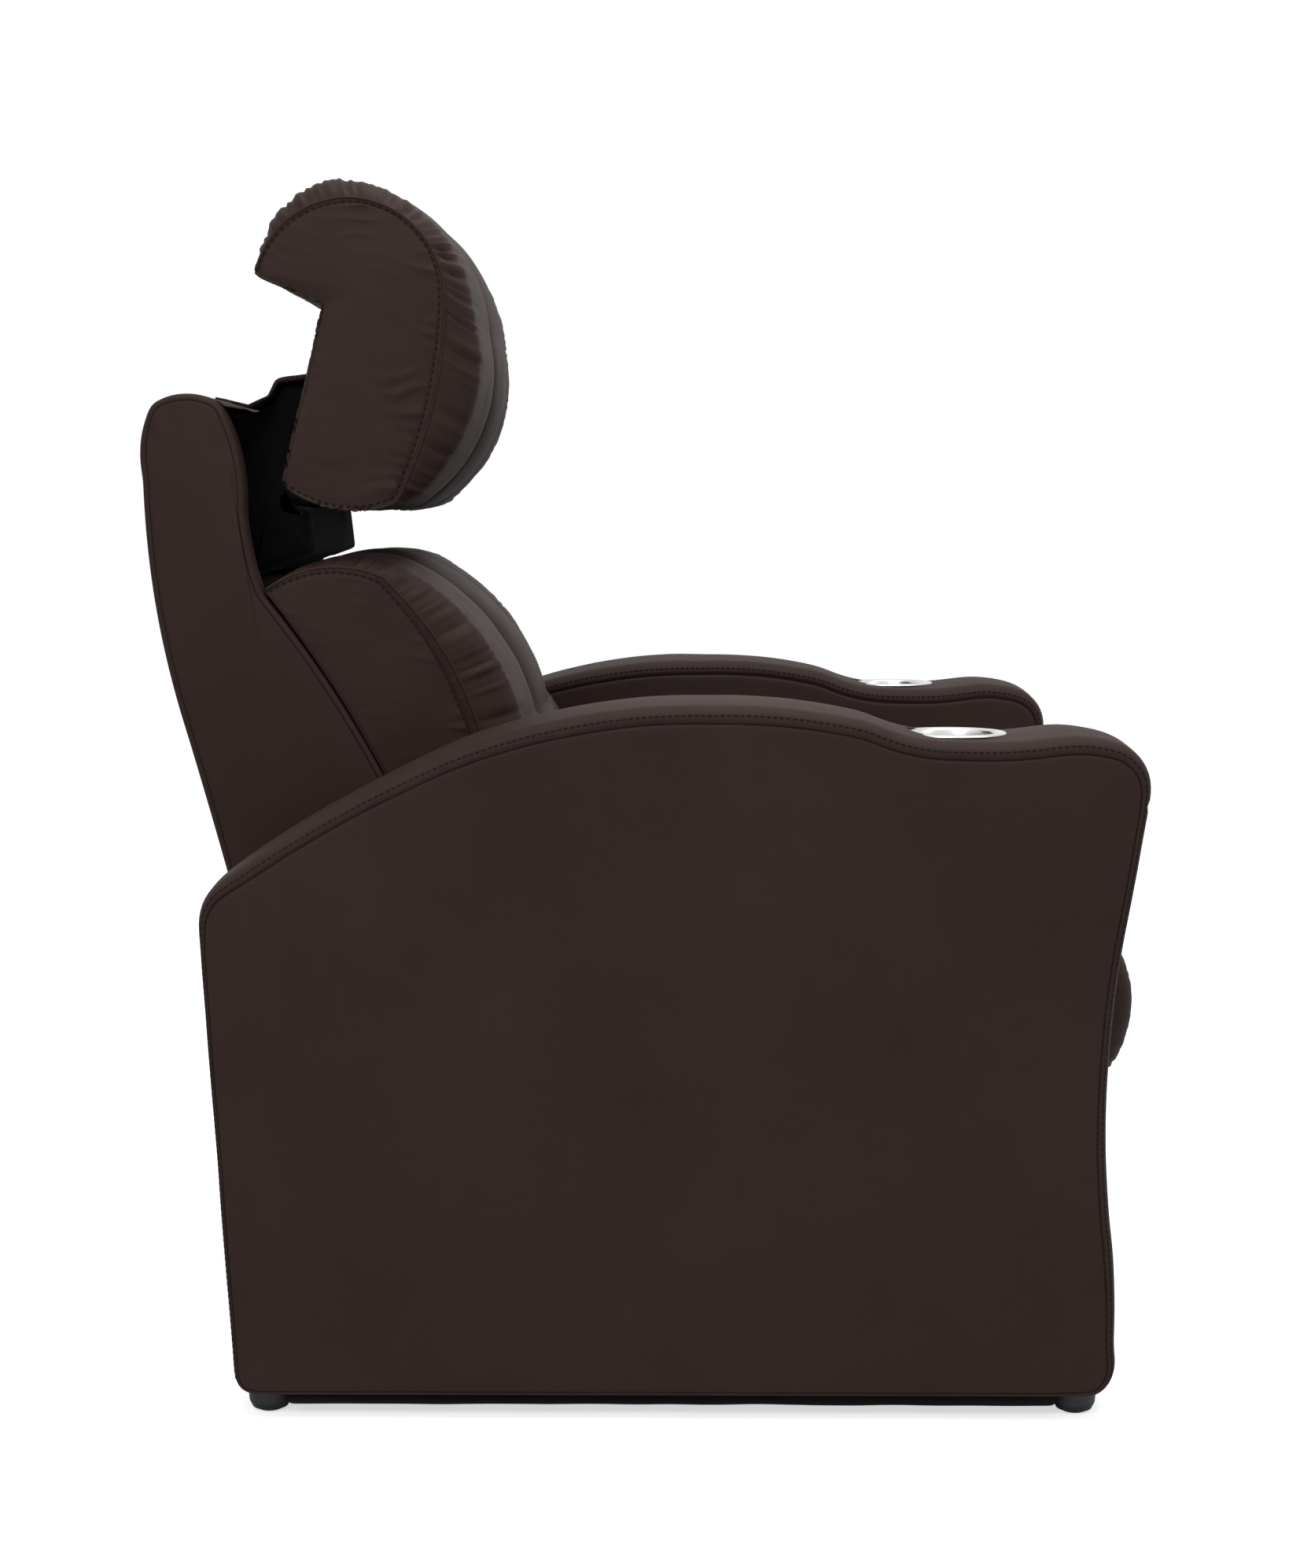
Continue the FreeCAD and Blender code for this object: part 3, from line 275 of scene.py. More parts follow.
def stitches(name, lines, material, pitch=6.2, length=4.4, radius=0.62):
    """Thread stitches end to end along lines of (points, outward normals, closed), world metres."""
    verts, faces = [], []
    for points, normals, closed in lines:
        pts, nor = np.asarray(points), np.asarray(normals)
        if closed:
            pts, nor = np.vstack([pts, pts[:1]]), np.vstack([nor, nor[:1]])
        at = np.concatenate([[0], np.cumsum(np.linalg.norm(np.diff(pts, axis=0), axis=1))])
        count = int(at[-1] / (pitch * MM))
        where = (np.arange(count) + 0.5) * at[-1] / max(count, 1)

        def sample(values, w):
            return np.stack([np.interp(w, at, values[:, k]) for k in range(3)], -1)

        mid = sample(pts, where)
        before, after = np.maximum(where - STITCH_TURN, 0), np.minimum(where + STITCH_TURN, at[-1])
        along = unit(sample(pts, after) - sample(pts, before))
        up = sample(nor, where)
        up = unit(up - np.sum(up * along, axis=1, keepdims=True) * along)
        across = np.cross(along, up)
        for m, t, n, b in zip(mid, along, up, across):
            faces += roll_faces(len(verts), len(STITCH_RINGS), STITCH_SIDES)
            for u, r in STITCH_RINGS:
                lift = STITCH_LIFT * radius * (1 - (2 * u) ** 2)
                centre = m + t * (u * length * MM) + n * (lift * MM)
                verts += roll_ring(centre, b, n * STITCH_HEIGHT, radius * r * MM, STITCH_SIDES)
    return make_object(name, verts, faces, material)


def welts_and_seam_shade_rolls(name, lines, material, radius, sides=6):
    """Thin roll along lines of (points, outward normals, closed), world metres: leather welts, and dark
    rolls that paint the shadow in seam grooves.
    """
    verts, faces = [], []
    for points, normals, closed in lines:
        pts, nor = np.asarray(points), np.asarray(normals)
        tangent = np.roll(pts, -1, 0) - np.roll(pts, 1, 0)
        if not closed:
            tangent[0], tangent[-1] = pts[1] - pts[0], pts[-1] - pts[-2]
        faces += roll_faces(len(verts), len(pts), sides, closed)
        for p, across, up in zip(pts, unit(np.cross(tangent, nor)), nor):
            verts += roll_ring(p, across, up, radius * MM, sides)
    return make_object(name, verts, faces, material)


THREAD_OFF = 0.25


def row_line(grid, row, lift):
    """A row of a skin as a stitch line: world points lifted off it, and outward normals."""
    g = to_world(grid)
    centre = g.reshape(-1, 3).mean(0)
    n = grid_normals(g)[row]
    if np.sum(n * (g[row] - centre)) < 0:
        n = -n
    return g[row] + n * (lift * MM), n


# Materials
def new_material(name):
    mat = bpy.data.materials.new(name)
    mat.use_nodes = True
    tree = mat.node_tree
    return mat, tree, tree.nodes["Principled BSDF"]


def add(tree, kind, **settings):
    node = tree.nodes.new(kind)
    for key, value in settings.items():
        setattr(node, key, value)
    return node


def put(node, values):
    """Set the node's own sockets from a dict of name to value."""
    for name, value in values.items():
        node.inputs[name].default_value = value
    return node


def ramp(tree, source, stops):
    node = tree.nodes.new("ShaderNodeValToRGB")
    elements = node.color_ramp.elements
    while len(elements) < len(stops):
        elements.new(0.5)
    for element, (at, colour) in zip(elements, stops):
        element.position = at
        element.color = (*colour, 1)
    tree.links.new(source, node.inputs["Fac"])
    return node.outputs["Color"]


def spread(tree, source, low, high):
    node = put(add(tree, "ShaderNodeMapRange"), {"To Min": low, "To Max": high})
    tree.links.new(source, node.inputs["Value"])
    return node.outputs["Result"]


def coordinates(tree, scale=(1, 1, 1)):
    coord = tree.nodes.new("ShaderNodeTexCoord")
    mapping = tree.nodes.new("ShaderNodeMapping")
    mapping.inputs["Scale"].default_value = scale
    tree.links.new(coord.outputs["Object"], mapping.inputs["Vector"])
    return mapping.outputs["Vector"]


def noise_node(tree, vector, scale, detail=2.0, rough=0.5, distortion=0.0):
    node = put(add(tree, "ShaderNodeTexNoise"),
               {"Scale": scale, "Detail": detail, "Roughness": rough, "Distortion": distortion})
    tree.links.new(vector, node.inputs["Vector"])
    return node.outputs["Fac"]


def bumps(tree, bsdf, layers):
    """Chain of bump nodes: (height socket, strength, distance in metres)."""
    last = None
    for height, strength, distance in layers:
        node = put(add(tree, "ShaderNodeBump"), {"Strength": strength, "Distance": distance})
        tree.links.new(height, node.inputs["Height"])
        if last:
            tree.links.new(last, node.inputs["Normal"])
        last = node.outputs["Normal"]
    tree.links.new(last, bsdf.inputs["Normal"])


PEBBLES, PORES = 620.0, 1500.0


def leather_material(name, dark, light, rough=(0.58, 0.70), grain=0.35, spec=0.3):
    """Pebbled leather: broad and fine tone changes, creases, pebbles and pores."""
    mat, tree, bsdf = new_material(name)
    vector = coordinates(tree)
    broad = noise_node(tree, vector, 5.0, 3.0, 0.55)
    tone = noise_node(tree, vector, 38.0, 4.0, 0.6, 0.4)
    mixed = add(tree, "ShaderNodeMath", operation="MULTIPLY_ADD")
    tree.links.new(tone, mixed.inputs[0])
    mixed.inputs[1].default_value = 0.35
    tree.links.new(broad, mixed.inputs[2])
    colour = ramp(tree, mixed.outputs[0], [(0.45, dark), (0.95, light)])
    tree.links.new(colour, bsdf.inputs["Base Color"])
    cells = put(add(tree, "ShaderNodeTexVoronoi", feature="F1"), {"Scale": PEBBLES, "Randomness": 0.9})
    tree.links.new(vector, cells.inputs["Vector"])
    pores = noise_node(tree, vector, PORES)
    crease = noise_node(tree, coordinates(tree, (1, 1, 1.8)), 95.0, 5.0, 0.62, 0.8)
    tree.links.new(spread(tree, tone, *rough), bsdf.inputs["Roughness"])
    put(bsdf, {"Specular IOR Level": spec, "IOR": 1.25})
    pebbles = cells.outputs["Distance"]
    bumps(tree, bsdf, [(crease, 0.12, 0.0009), (pebbles, grain, 0.0004), (pores, 0.12, 0.0002)])
    return mat


THREADS = 320.0


def cloth_material(name, dark, light):
    """Plain weave: two crossed sets of bands."""
    mat, tree, bsdf = new_material(name)
    vector = coordinates(tree)
    both = add(tree, "ShaderNodeMath", operation="MULTIPLY")
    for k, direction in enumerate("XZ"):
        threads = put(add(tree, "ShaderNodeTexWave", bands_direction=direction), {"Scale": THREADS})
        tree.links.new(vector, threads.inputs["Vector"])
        tree.links.new(threads.outputs["Fac"], both.inputs[k])
    tone = noise_node(tree, vector, 30.0, 3.0)
    tree.links.new(ramp(tree, tone, [(0.35, dark), (0.7, light)]), bsdf.inputs["Base Color"])
    put(bsdf, {"Roughness": 0.92, "Specular IOR Level": 0.12, "Sheen Weight": 0.05})
    bumps(tree, bsdf, [(both.outputs[0], 0.35, 0.0004)])
    return mat


def hard_material(name, dark, light, rough, metallic=0.0, grain=(300.0, 0.08, 0.0003), stretch=(1, 1, 1),
                  spec=0.5):
    """Metal, plastic or wood; grain is the fine noise's scale, bump strength and bump distance."""
    mat, tree, bsdf = new_material(name)
    vector = coordinates(tree, stretch)
    tone = noise_node(tree, vector, grain[0] / 12, 3.0)
    fine = noise_node(tree, vector, grain[0], 3.0)
    tree.links.new(ramp(tree, tone, [(0.3, dark), (0.7, light)]), bsdf.inputs["Base Color"])
    tree.links.new(spread(tree, fine, *rough), bsdf.inputs["Roughness"])
    put(bsdf, {"Metallic": metallic, "Specular IOR Level": spec})
    bumps(tree, bsdf, [(fine, grain[1], grain[2])])
    return mat


LEATHER_DARK = (0.0225, 0.0124, 0.0104)
LEATHER_LIGHT = (0.0300, 0.0170, 0.0144)
leather = leather_material("leather_brown", LEATHER_DARK, LEATHER_LIGHT)
soft_leather = leather_material("leather_brown_soft", LEATHER_DARK, LEATHER_LIGHT,
                                rough=(0.52, 0.64), grain=0.28)
thread = hard_material("thread", (0.0022, 0.0016, 0.0016), (0.005, 0.004, 0.004), (0.7, 0.85),
                       spec=0.2)
black_cloth = cloth_material("cloth_black", (0.0011, 0.0011, 0.0012), (0.0022, 0.0022, 0.0024))
steel = hard_material("steel_brushed", (0.62, 0.61, 0.60), (0.74, 0.73, 0.72), (0.2, 0.34), 1.0,
                      (420.0, 0.06, 0.0002), (1, 1, 7))
plastic = hard_material("plastic_black", (0.006, 0.006, 0.0065), (0.010, 0.010, 0.011),
                        (0.42, 0.58))
paint = hard_material("powder_coat_black", (0.010, 0.010, 0.011), (0.016, 0.016, 0.017), (0.38, 0.52),
                      grain=(700.0, 0.2, 0.0003))
zinc = hard_material("zinc_plate", (0.40, 0.40, 0.39), (0.55, 0.55, 0.53), (0.3, 0.45), 1.0)
wood = hard_material("birch_ply", (0.38, 0.27, 0.16), (0.56, 0.42, 0.27), (0.55, 0.7),
                     grain=(160.0, 0.12, 0.0004), stretch=(1, 0.12, 1))
webbing = cloth_material("webbing", (0.010, 0.010, 0.011), (0.020, 0.020, 0.022))

NODE_MATERIALS = {
    zinc: ("slide_rails", "arm_bolts", "carriage_pivots", "headrest_shaft"),
    plastic: ("feet", "power_inlet", "switch_plate", "glide_shoes", "footrest_drive_nut",
              "recline_drive_nut", "headrest_drive_nut"),
    wood: ("arm_frame_left", "arm_frame_right", "seat_frame", "footrest_board", "back_frame",
           "headrest_board"),
    webbing: ("seat_webbing", "back_well_lining"),
    steel: ("button_1", "button_2", "button_3", "button_4"),
}
material_of = {name: mat for mat, names in NODE_MATERIALS.items() for name in names}
for name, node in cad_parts.items():
    node.data.materials.clear()
    node.data.materials.append(material_of.get(name, paint))


# Padded slabs: arms and wings
FACE_ROWS = 12
HUB_SHARE = 0.04


def at_x(x, loop):
    """A loop of (s, z) put at x, one value or one per point."""
    return np.column_stack([np.broadcast_to(x, len(loop)), loop])


def slab_grid(outline, centre, front, back, share=1.0, bulge=(2.5, -2.5)):
    """Rows of loops over a padded slab.

    front and back are lists of (x, inset) from the face's border to the middle of the edge, and bulge is
    how far each face swells along x.
    """
    def face(x, inset, swell):
        border = offset_loop(outline, inset * share)
        rings = []
        for f in HUB_SHARE + (1 - HUB_SHARE) * np.arange(FACE_ROWS) / FACE_ROWS:
            rings.append(at_x(x + swell * (1 - f ** 3), centre + (border - centre) * f))
        return rings

    rows = face(*front[0], bulge[0])
    for x, inset in front + back[::-1]:
        rows.append(at_x(x, offset_loop(outline, inset * share)))
    return np.array(rows + face(*back[0], bulge[1])[::-1])


# Arms
arm_moves = [
    (-384, 23), ((-397, 28), (-403, 42)), (-430.5, 488), ((-425.5, 509), (-410.5, 527)),
    ((-318, 587), (-195, 650)), ((-72, 686), (62, 697)), ((140, 694), (214, 681)),
    ((245, 669), (297, 662.5)), ((345, 662.5), (388, 667)), ((413, 668.5), (437, 665)),
    ((469.5, 648), (480.5, 615)), (462, 500), ((443, 318), (448.5, 194)),
    ((454.5, 128), (454.5, 70)), ((451, 36), (438, 23)),
]
arm_loop, _ = trace(arm_moves, step=5.0)
arm_loop = smooth_loop(resample(ccw(arm_loop), 460), rounds=3)
ARM_CENTRE = np.array([20.0, 330.0])


def edge_share(loop):
    """How far in the face seam lies: wide under the crown, narrow at the front, rear and bottom."""
    n = -inward(loop)
    top = np.clip(n[:, 1], 0, 1) ** 0.7
    front = np.clip(n[:, 0], 0, 1)
    share = 0.34 + 0.66 * top + 0.24 * front * (1 - top)
    return smooth_loop(share[:, None], rounds=30)[:, 0]


arm_share = edge_share(arm_loop)
ARM_EDGE_PROFILE = [  # depth from the face, inset from the outline
    (0.2, 26), (0.3, 21), (0.7, 18.6), (2.6, 17.2), (2.6, 16.8), (0.9, 15.4), (0.7, 12.5),
    (1.5, 9.0), (3.6, 6.0), (6.8, 3.5), (11.0, 1.5), (16.0, 0.3), (22.0, 0.0), (32.0, -0.6),
    (46.0, -1.3), (64.0, -1.9), (HALF_ARM, -2.1),
]
SEAM_ROW, TOP_STITCH_ROW = 3, 7
CUP_S, CUP_Z = 297.0, 650.0
CUP_HOLE_RADIUS, CUP_HOLE_DEPTH = 0.0452, 0.12
SWITCH_POCKET_IN, SWITCH_POCKET_DEEP = 0.004, 0.024
GROOVE_Z, GROOVE_FROM_S, GROOVE_WIDTH, GROOVE_DEPTH = 600.0, 440.0, 2.2, 1.6
MIRROR = np.array([-1.0, 1.0, 1.0])


def arm_cutter(side):
    """The cup's hole, and in the right arm the pocket behind the switch plate."""
    cup = np.array([side * ARM_MIDDLE, -CUP_S, CUP_Z]) * MM
    bm = bmesh.new()
    bmesh.ops.create_cone(bm, cap_ends=True, segments=64, radius1=CUP_HOLE_RADIUS,
                          radius2=CUP_HOLE_RADIUS, depth=CUP_HOLE_DEPTH)
    if side < 0:
        low, high = (np.array(corner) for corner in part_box("switch_plate"))
        size = high - low - SWITCH_POCKET_IN
        size[0] = SWITCH_POCKET_DEEP
        pocket = bmesh.ops.create_cube(bm, size=1.0)["verts"]
        bmesh.ops.scale(bm, vec=Vector(size), verts=pocket)
        bmesh.ops.translate(bm, vec=Vector((low + high) / 2 - cup), verts=pocket)
    mesh = bpy.data.meshes.new("cutter")
    bm.to_mesh(mesh)
    bm.free()
    cutter = bpy.data.objects.new("cutter", mesh)
    cutter.location = cup
    bpy.context.scene.collection.objects.link(cutter)
    return cutter


def cut_away(obj, cutter):
    cut = obj.modifiers.new("cut", "BOOLEAN")
    cut.operation = "DIFFERENCE"
    cut.solver = "EXACT"
    cut.object = cutter
    bpy.context.view_layer.update()
    evaluated = obj.evaluated_get(bpy.context.evaluated_depsgraph_get())
    applied = bpy.data.meshes.new_from_object(evaluated)
    obj.modifiers.clear()
    obj.data = applied
    bpy.data.objects.remove(cutter)


def build_arm(side, name):
    outer = [(ARM_OUT - e, i) for e, i in ARM_EDGE_PROFILE]
    inner = [(HALF_SEAT + e, i) for e, i in ARM_EDGE_PROFILE[:-1]]
    grid = slab_grid(arm_loop, ARM_CENTRE, outer, inner, arm_share)
    x, s, z = np.moveaxis(grid, -1, 0)
    on_edge = 1 - np.abs(x - ARM_MIDDLE) / HALF_ARM > 0.04
    groove = np.exp(-((z - GROOVE_Z) / GROOVE_WIDTH) ** 2) * (s > GROOVE_FROM_S) * on_edge
    soft = field(grid, 120.0, 3.1 + side) * 0.9 + field(grid, 40.0, 5.7 + side) * 0.25
    normal = outward_normals(grid, (ARM_MIDDLE, *ARM_CENTRE))
    low = np.clip((z - ARM_BOTTOM - 2) / 40, 0, 1)
    grid = grid + normal * ((soft * low - GROOVE_DEPTH * groove)[..., None])
    grid[..., 2] = np.maximum(grid[..., 2], ARM_BOTTOM)
    if side < 0:
        grid = grid * MIRROR
    obj = tube_object("arm_leather_" + name, grid, leather)
    cut_away(obj, arm_cutter(side))
    ride(obj, "base", "leather", "arm_cover_" + name)
    above_floor = arm_loop[:, 1] > ARM_BOTTOM + 12
    order = np.roll(np.arange(len(arm_loop)), -int(np.argmin(above_floor)))
    order = order[above_floor[order]]
    lines = []
    for row in (FACE_ROWS + SEAM_ROW, FACE_ROWS + TOP_STITCH_ROW):
        for r in (row, len(grid) - 1 - row):
            pts, nor = row_line(grid, r, THREAD_OFF)
            lines.append((pts[order], nor[order], False))
    # painted shade: a dark roll along the seam groove stands in for the groove's shadow
    ride(welts_and_seam_shade_rolls("arm_seam_shade_" + name, lines[:2], thread, radius=0.75), "base", "leather")
    ride(stitches("arm_thread_" + name, lines, thread, radius=0.7), "base", "leather")


SIDES = ((1, "left"), (-1, "right"))
for side, name in SIDES:
    build_arm(side, name)


# Cup holders: spun steel with a rolled rim
def lathe(name, profile, centre, material, segments=96):
    """A profile of (radius, z) spun round the upright line at centre (x, s)."""
    verts, faces = [], []
    n = len(profile)
    for k in range(segments):
        a = 2 * math.pi * k / segments
        for r, z in profile:
            x, y = centre[0] + r * math.cos(a), -centre[1] + r * math.sin(a)
            verts.append((x * MM, y * MM, z * MM))
    for k in range(segments):
        k2 = (k + 1) % segments
        for i in range(n - 1):
            faces.append((k * n + i, k2 * n + i, k2 * n + i + 1, k * n + i + 1))
    return make_object(name, verts, faces, material)


CUP_PROFILE = [
    (0, 587.6), (38, 587.6), (42.2, 588.6), (43.4, 591), (43.5, 660), (44.2, 662.0),
    (51.0, 662.6), (52.2, 663.2), (52.6, 664.3), (52.2, 665.5), (51.0, 666.2), (48.0, 666.4),
    (45.2, 666.0), (43.4, 664.9), (42.6, 663.0), (42.5, 655), (42.5, 594), (41.6, 591.2),
    (39.5, 589.2), (36, 588.6), (0, 588.6),
]
for side, name in SIDES:
    cup = lathe("cup_steel_" + name, CUP_PROFILE, (side * ARM_MIDDLE, CUP_S), steel)
    ride(cup, "base", "stainless", "cup_holder_" + name)

# Back wings
wing_moves = [
    (-378, 300), ((-428, 508), (-469, 658)), ((-501, 810), (-508, 912)),
    ((-506.2, 966), (-498, 986.5)), ((-464, 997), (-428, 987)), ((-418, 965), (-405, 879)),
    ((-400, 840), (-388, 797)), ((-322, 706), (-264, 606)), ((-226, 540), (-204, 478)),
    (-258, 392), (-300, 312),
]
wing_loop, _ = trace(wing_moves, step=4.0)
wing_loop = smooth_loop(resample(ccw(wing_loop), 380), rounds=3)
WING_CENTRE = np.array([-385.0, 700.0])
WING_PROFILE = [  # depth from the face, inset from the outline
    (0.3, 13), (0.5, 9.5), (0.9, 8.0), (2.2, 7.0), (0.9, 6.0), (0.9, 4.6), (2.0, 2.6), (4.2, 1.1),
    (7.5, 0.3), (12.0, 0.0), (20.0, 0.0),
]
WING_INNER = [(0.0, 3.0), (0.6, 1.2), (2.2, 0.2), (6.0, 0.0)]
for side, name in SIDES:
    outer = [(BACK_HALF - e, i) for e, i in WING_PROFILE]
    inner = [(WING_IN + e, i) for e, i in WING_INNER]
    grid = slab_grid(wing_loop, WING_CENTRE, outer, inner, bulge=(2.0, 0.0))
    outer_half = grid[..., 0] > (WING_IN + BACK_HALF) / 2
    wave = field(grid, 70.0, 9.3 + side, (1, 1, 0.6)) * 1.1
    near_top = np.clip((grid[..., 2] - 900) / 90, 0, 1)
    crumple = near_top * field(grid, 20.0, 2.2) * 2.2
    grid[..., 0] += np.where(outer_half, wave + crumple, 0.0)
    if side < 0:
        grid = grid * MIRROR
    wing = tube_object("wing_leather_" + name, grid, leather)
    ride(wing, "back", "leather", "back_wing_" + name)
    line = (*row_line(grid, FACE_ROWS + SEAM_ROW, THREAD_OFF), True)
    # painted shade: a dark roll along the seam groove stands in for the groove's shadow
    ride(welts_and_seam_shade_rolls("wing_seam_shade_" + name, [line], thread, radius=0.6), "back", "leather")
    ride(stitches("wing_thread_" + name, [line], thread), "back", "leather")


# Cushions
def station_rows(half, fine=2.2, coarse=6.0):
    """x positions from one side to the other, closer at the edges and at the channels."""
    xs, x = [], 0.0
    while x < half:
        xs.append(x)
        near_channel = abs(x - CHANNEL_X) < 16
        near_edge = half - x < 34
        x += fine if near_channel or near_edge else coarse
    xs.append(half)
    return np.array([-v for v in reversed(xs[1:])] + xs)


def crown_share(x, half, edge, channel):
    """Share of the way from the side outline to the middle one at a distance x from the middle."""
    a = np.abs(x)
    t = np.clip((half - a) / edge, 0, 1)
    rise = 0.74 * np.sqrt(np.clip(1 - (1 - t) ** 2, 0, 1))
    panel = 0.26 * np.clip((half - a) / half, 0, 1) ** 0.8
    local = np.minimum(np.abs(a - CHANNEL_X), 60)
    valley = channel * (np.exp(-(local / 4.0) ** 2) * 0.55 + np.exp(-local / 15.0) * 0.45)
    return rise + panel - valley


GUSSET_RINGS = 34
SEAM_SUNK = 1.4
SEAM_FADE = 0.1
GATHER_WAVES = (17.0, 26.0, 11.0)
TUCK_WAVES = (13.0, 19.0, 31.0)


def cushion_grid(half, side, middle, centre, edge, channel, bulge):
    """Rows over a cushion: a gusset at each end and the crown between them.

    Returns the rows, the gusset rings' shares of the way out from the centre, the side loop and how many
    of its points belong to each move.
    """
    mid_loop, counts = trace(middle, step=4.0)
    side_loop, _ = trace(side, counts)
    side_loop, mid_loop = smooth_loop(side_loop, rounds=1), smooth_loop(mid_loop, rounds=1)
    shares = 0.10 + 0.88 * (np.arange(GUSSET_RINGS) / (GUSSET_RINGS - 1)) ** 0.8
    gusset = []
    for f in shares:
        sunk = SEAM_SUNK if f == shares[-1] else 0
        gusset.append(at_x(half + bulge * (1 - f ** 2.5) - sunk, centre + (side_loop - centre) * f))
    crown = [at_x(x, side_loop + (mid_loop - side_loop) * crown_share(x, half, edge, channel))
             for x in station_rows(half)]
    rows = [ring * MIRROR for ring in gusset] + crown + gusset[::-1]
    return np.array(rows), shares, side_loop, counts


def gather_height(x, along, amount, half, reach, seed):
    """Tucks that run in from the seams over the crown, from 0 at their ridges down."""
    pull = 0
    for sign in (-1, 1):
        one = ripple(along + 37 * sign, GATHER_WAVES, seed + sign) * amount
        ridge = 1 - np.abs(np.clip(one * 1.6, -1, 1))
        pull = pull + np.where(x * sign > 0, np.where(amount > 0, ridge - 0.85, 0)[None, :], 0)
    from_seam = np.clip(half - np.abs(x), 0, None)
    return pull * np.clip(from_seam / 5.0, 0, 1) * np.exp(-from_seam / reach)


def tuck_height(x, along, seed):
    """Small puckers beside the sewn channels."""
    off = np.abs(np.abs(x) - CHANNEL_X)
    near = np.exp(-off / 9.0) * np.clip(off / 3, 0, 1)
    return 0.45 * ripple(along, TUCK_WAVES, seed + 9)[None, :] * near


def fold_height(grid, centre, ring_share, seed):
    """Level folds across a gusset, in patches, strongest at its front seam."""
    s, z = grid[..., 1], grid[..., 2]
    warp = 16 * field(grid, 70.0, seed * 0.9) + 5 * field(grid, 24.0, seed * 0.3)
    wave = np.sin(2 * np.pi * (z + warp + 0.18 * (s - centre[0])) / 31.0)
    patch = np.clip(0.15 + 1.3 * field(grid, 55.0, seed * 1.7), 0, 1)
    front = np.clip((s - centre[0] + 30) / 70, 0.2, 1)
    return (1 - np.abs(wave)) ** 2 * patch * front * ring_share[:, None] ** 1.5


def build_cushion(name, body, node, half, side, middle, centre, edge, channel, bulge, seed, ruche,
                  ruche_reach=20.0, puff=1.4, side_folds=0.0, seam_moves=None):
    """A cushion of three panels, its seams, welts and stitches.

    side and middle are its outlines at the ends and in the middle, edge the width of the rounding,
    channel the depth of the channels, bulge how far the gussets swell; seam_moves, where given, is how
    many moves of the outline the seam follows.
    """
    centre = np.array(centre, float)
    grid, shares, side_loop, counts = cushion_grid(half, side, middle, centre, edge, channel, bulge)
    sewn = sum(counts[:seam_moves])
    along = np.concatenate([[0], np.cumsum(np.linalg.norm(np.diff(side_loop, axis=0), axis=1))])
    amount = np.clip(0.75 + 0.5 * ripple(along, (210.0, 330.0), seed + 4), 0.35, 1.2)
    amount[sewn:] = 0
    first, last = len(shares), len(grid) - len(shares)
    crown = np.zeros((len(grid), 1), bool)
    crown[first:last] = True
    x = grid[..., 0]
    height = np.where(crown, ruche * gather_height(x, along, amount, half, ruche_reach, seed), 0)
    height += np.where(crown, tuck_height(x, along, seed), 0)
    height += puff * field(grid, 85.0, seed * 1.3) + 0.35 * puff * field(grid, 30.0, seed * 2.1)
    if side_folds:
        ring_share = np.concatenate([shares, np.zeros(last - first), shares[::-1]])
        height += np.where(crown, 0, side_folds * fold_height(grid, centre, ring_share, seed))
    for r in (first, last):
        height[r - 1:r + 1] *= SEAM_FADE
    sideways = np.sign(grid[..., :1]) * np.array([1.0, 0.0, 0.0])
    normal = np.where(crown[..., None], outward_normals(grid, (0.0, *centre)), sideways)
    grid = grid + normal * height[..., None]
    obj = ride(tube_object(name, grid, soft_leather, hub=tuple(centre)), body, "leather", node)
    world = to_world(grid)[:, :sewn]
    normals = to_world(outward_normals(grid, (0.0, *centre)))[:, :sewn] / MM
    whole = seam_moves is None
    welts = [(world[r], normals[r], whole) for r in (first + 1, last - 2)]
    ride(welts_and_seam_shade_rolls(name + "_welt", welts, soft_leather, radius=1.7), body, "leather")
    lines = [(world[r] + normals[r] * (0.4 * MM), normals[r], whole) for r in (first - 1, last)]
    ride(stitches(name + "_thread", lines, thread, pitch=7.4, length=4.6, radius=1.2), body, "leather")


seat_side = [
    (-210, 341), ((-214, 410), (-206, 460)), ((-200, 472), (-180, 474)), ((80, 480), (344, 476)),
    ((372, 466), (380, 436)), ((379, 400), (372, 341)),
]
seat_middle = [
    (-210, 341), ((-214, 410), (-206, 462)), ((-200, 473), (-180, 476)), ((80, 500), (340, 494)),
    ((386, 482), (386, 442)), ((385, 400), (372, 341)),
]
build_cushion("seat_leather", "carriage", "seat_cushion", BACK_HALF - 5, seat_side, seat_middle,
              centre=(80, 410), edge=26, channel=0.34, bulge=2.0, seed=11, ruche=2.0, puff=0.8)

pad_side = [
    (408, 140), (408, 466), ((424, 470), (440, 458)), ((470, 374), (440, 290)),
    ((430, 200), (414, 142)),
]
pad_middle = [
    (408, 134), (408, 472), ((438, 480), (468, 462)), ((506, 372), (462, 286)),
    ((444, 200), (418, 136)),
]
build_cushion("footrest_leather", "footrest", "footrest_pad", BACK_HALF - 2, pad_side, pad_middle,
              centre=(428, 310), edge=30, channel=0.26, bulge=1.5, seed=23, ruche=3.4, ruche_reach=30.0,
              puff=1.2)

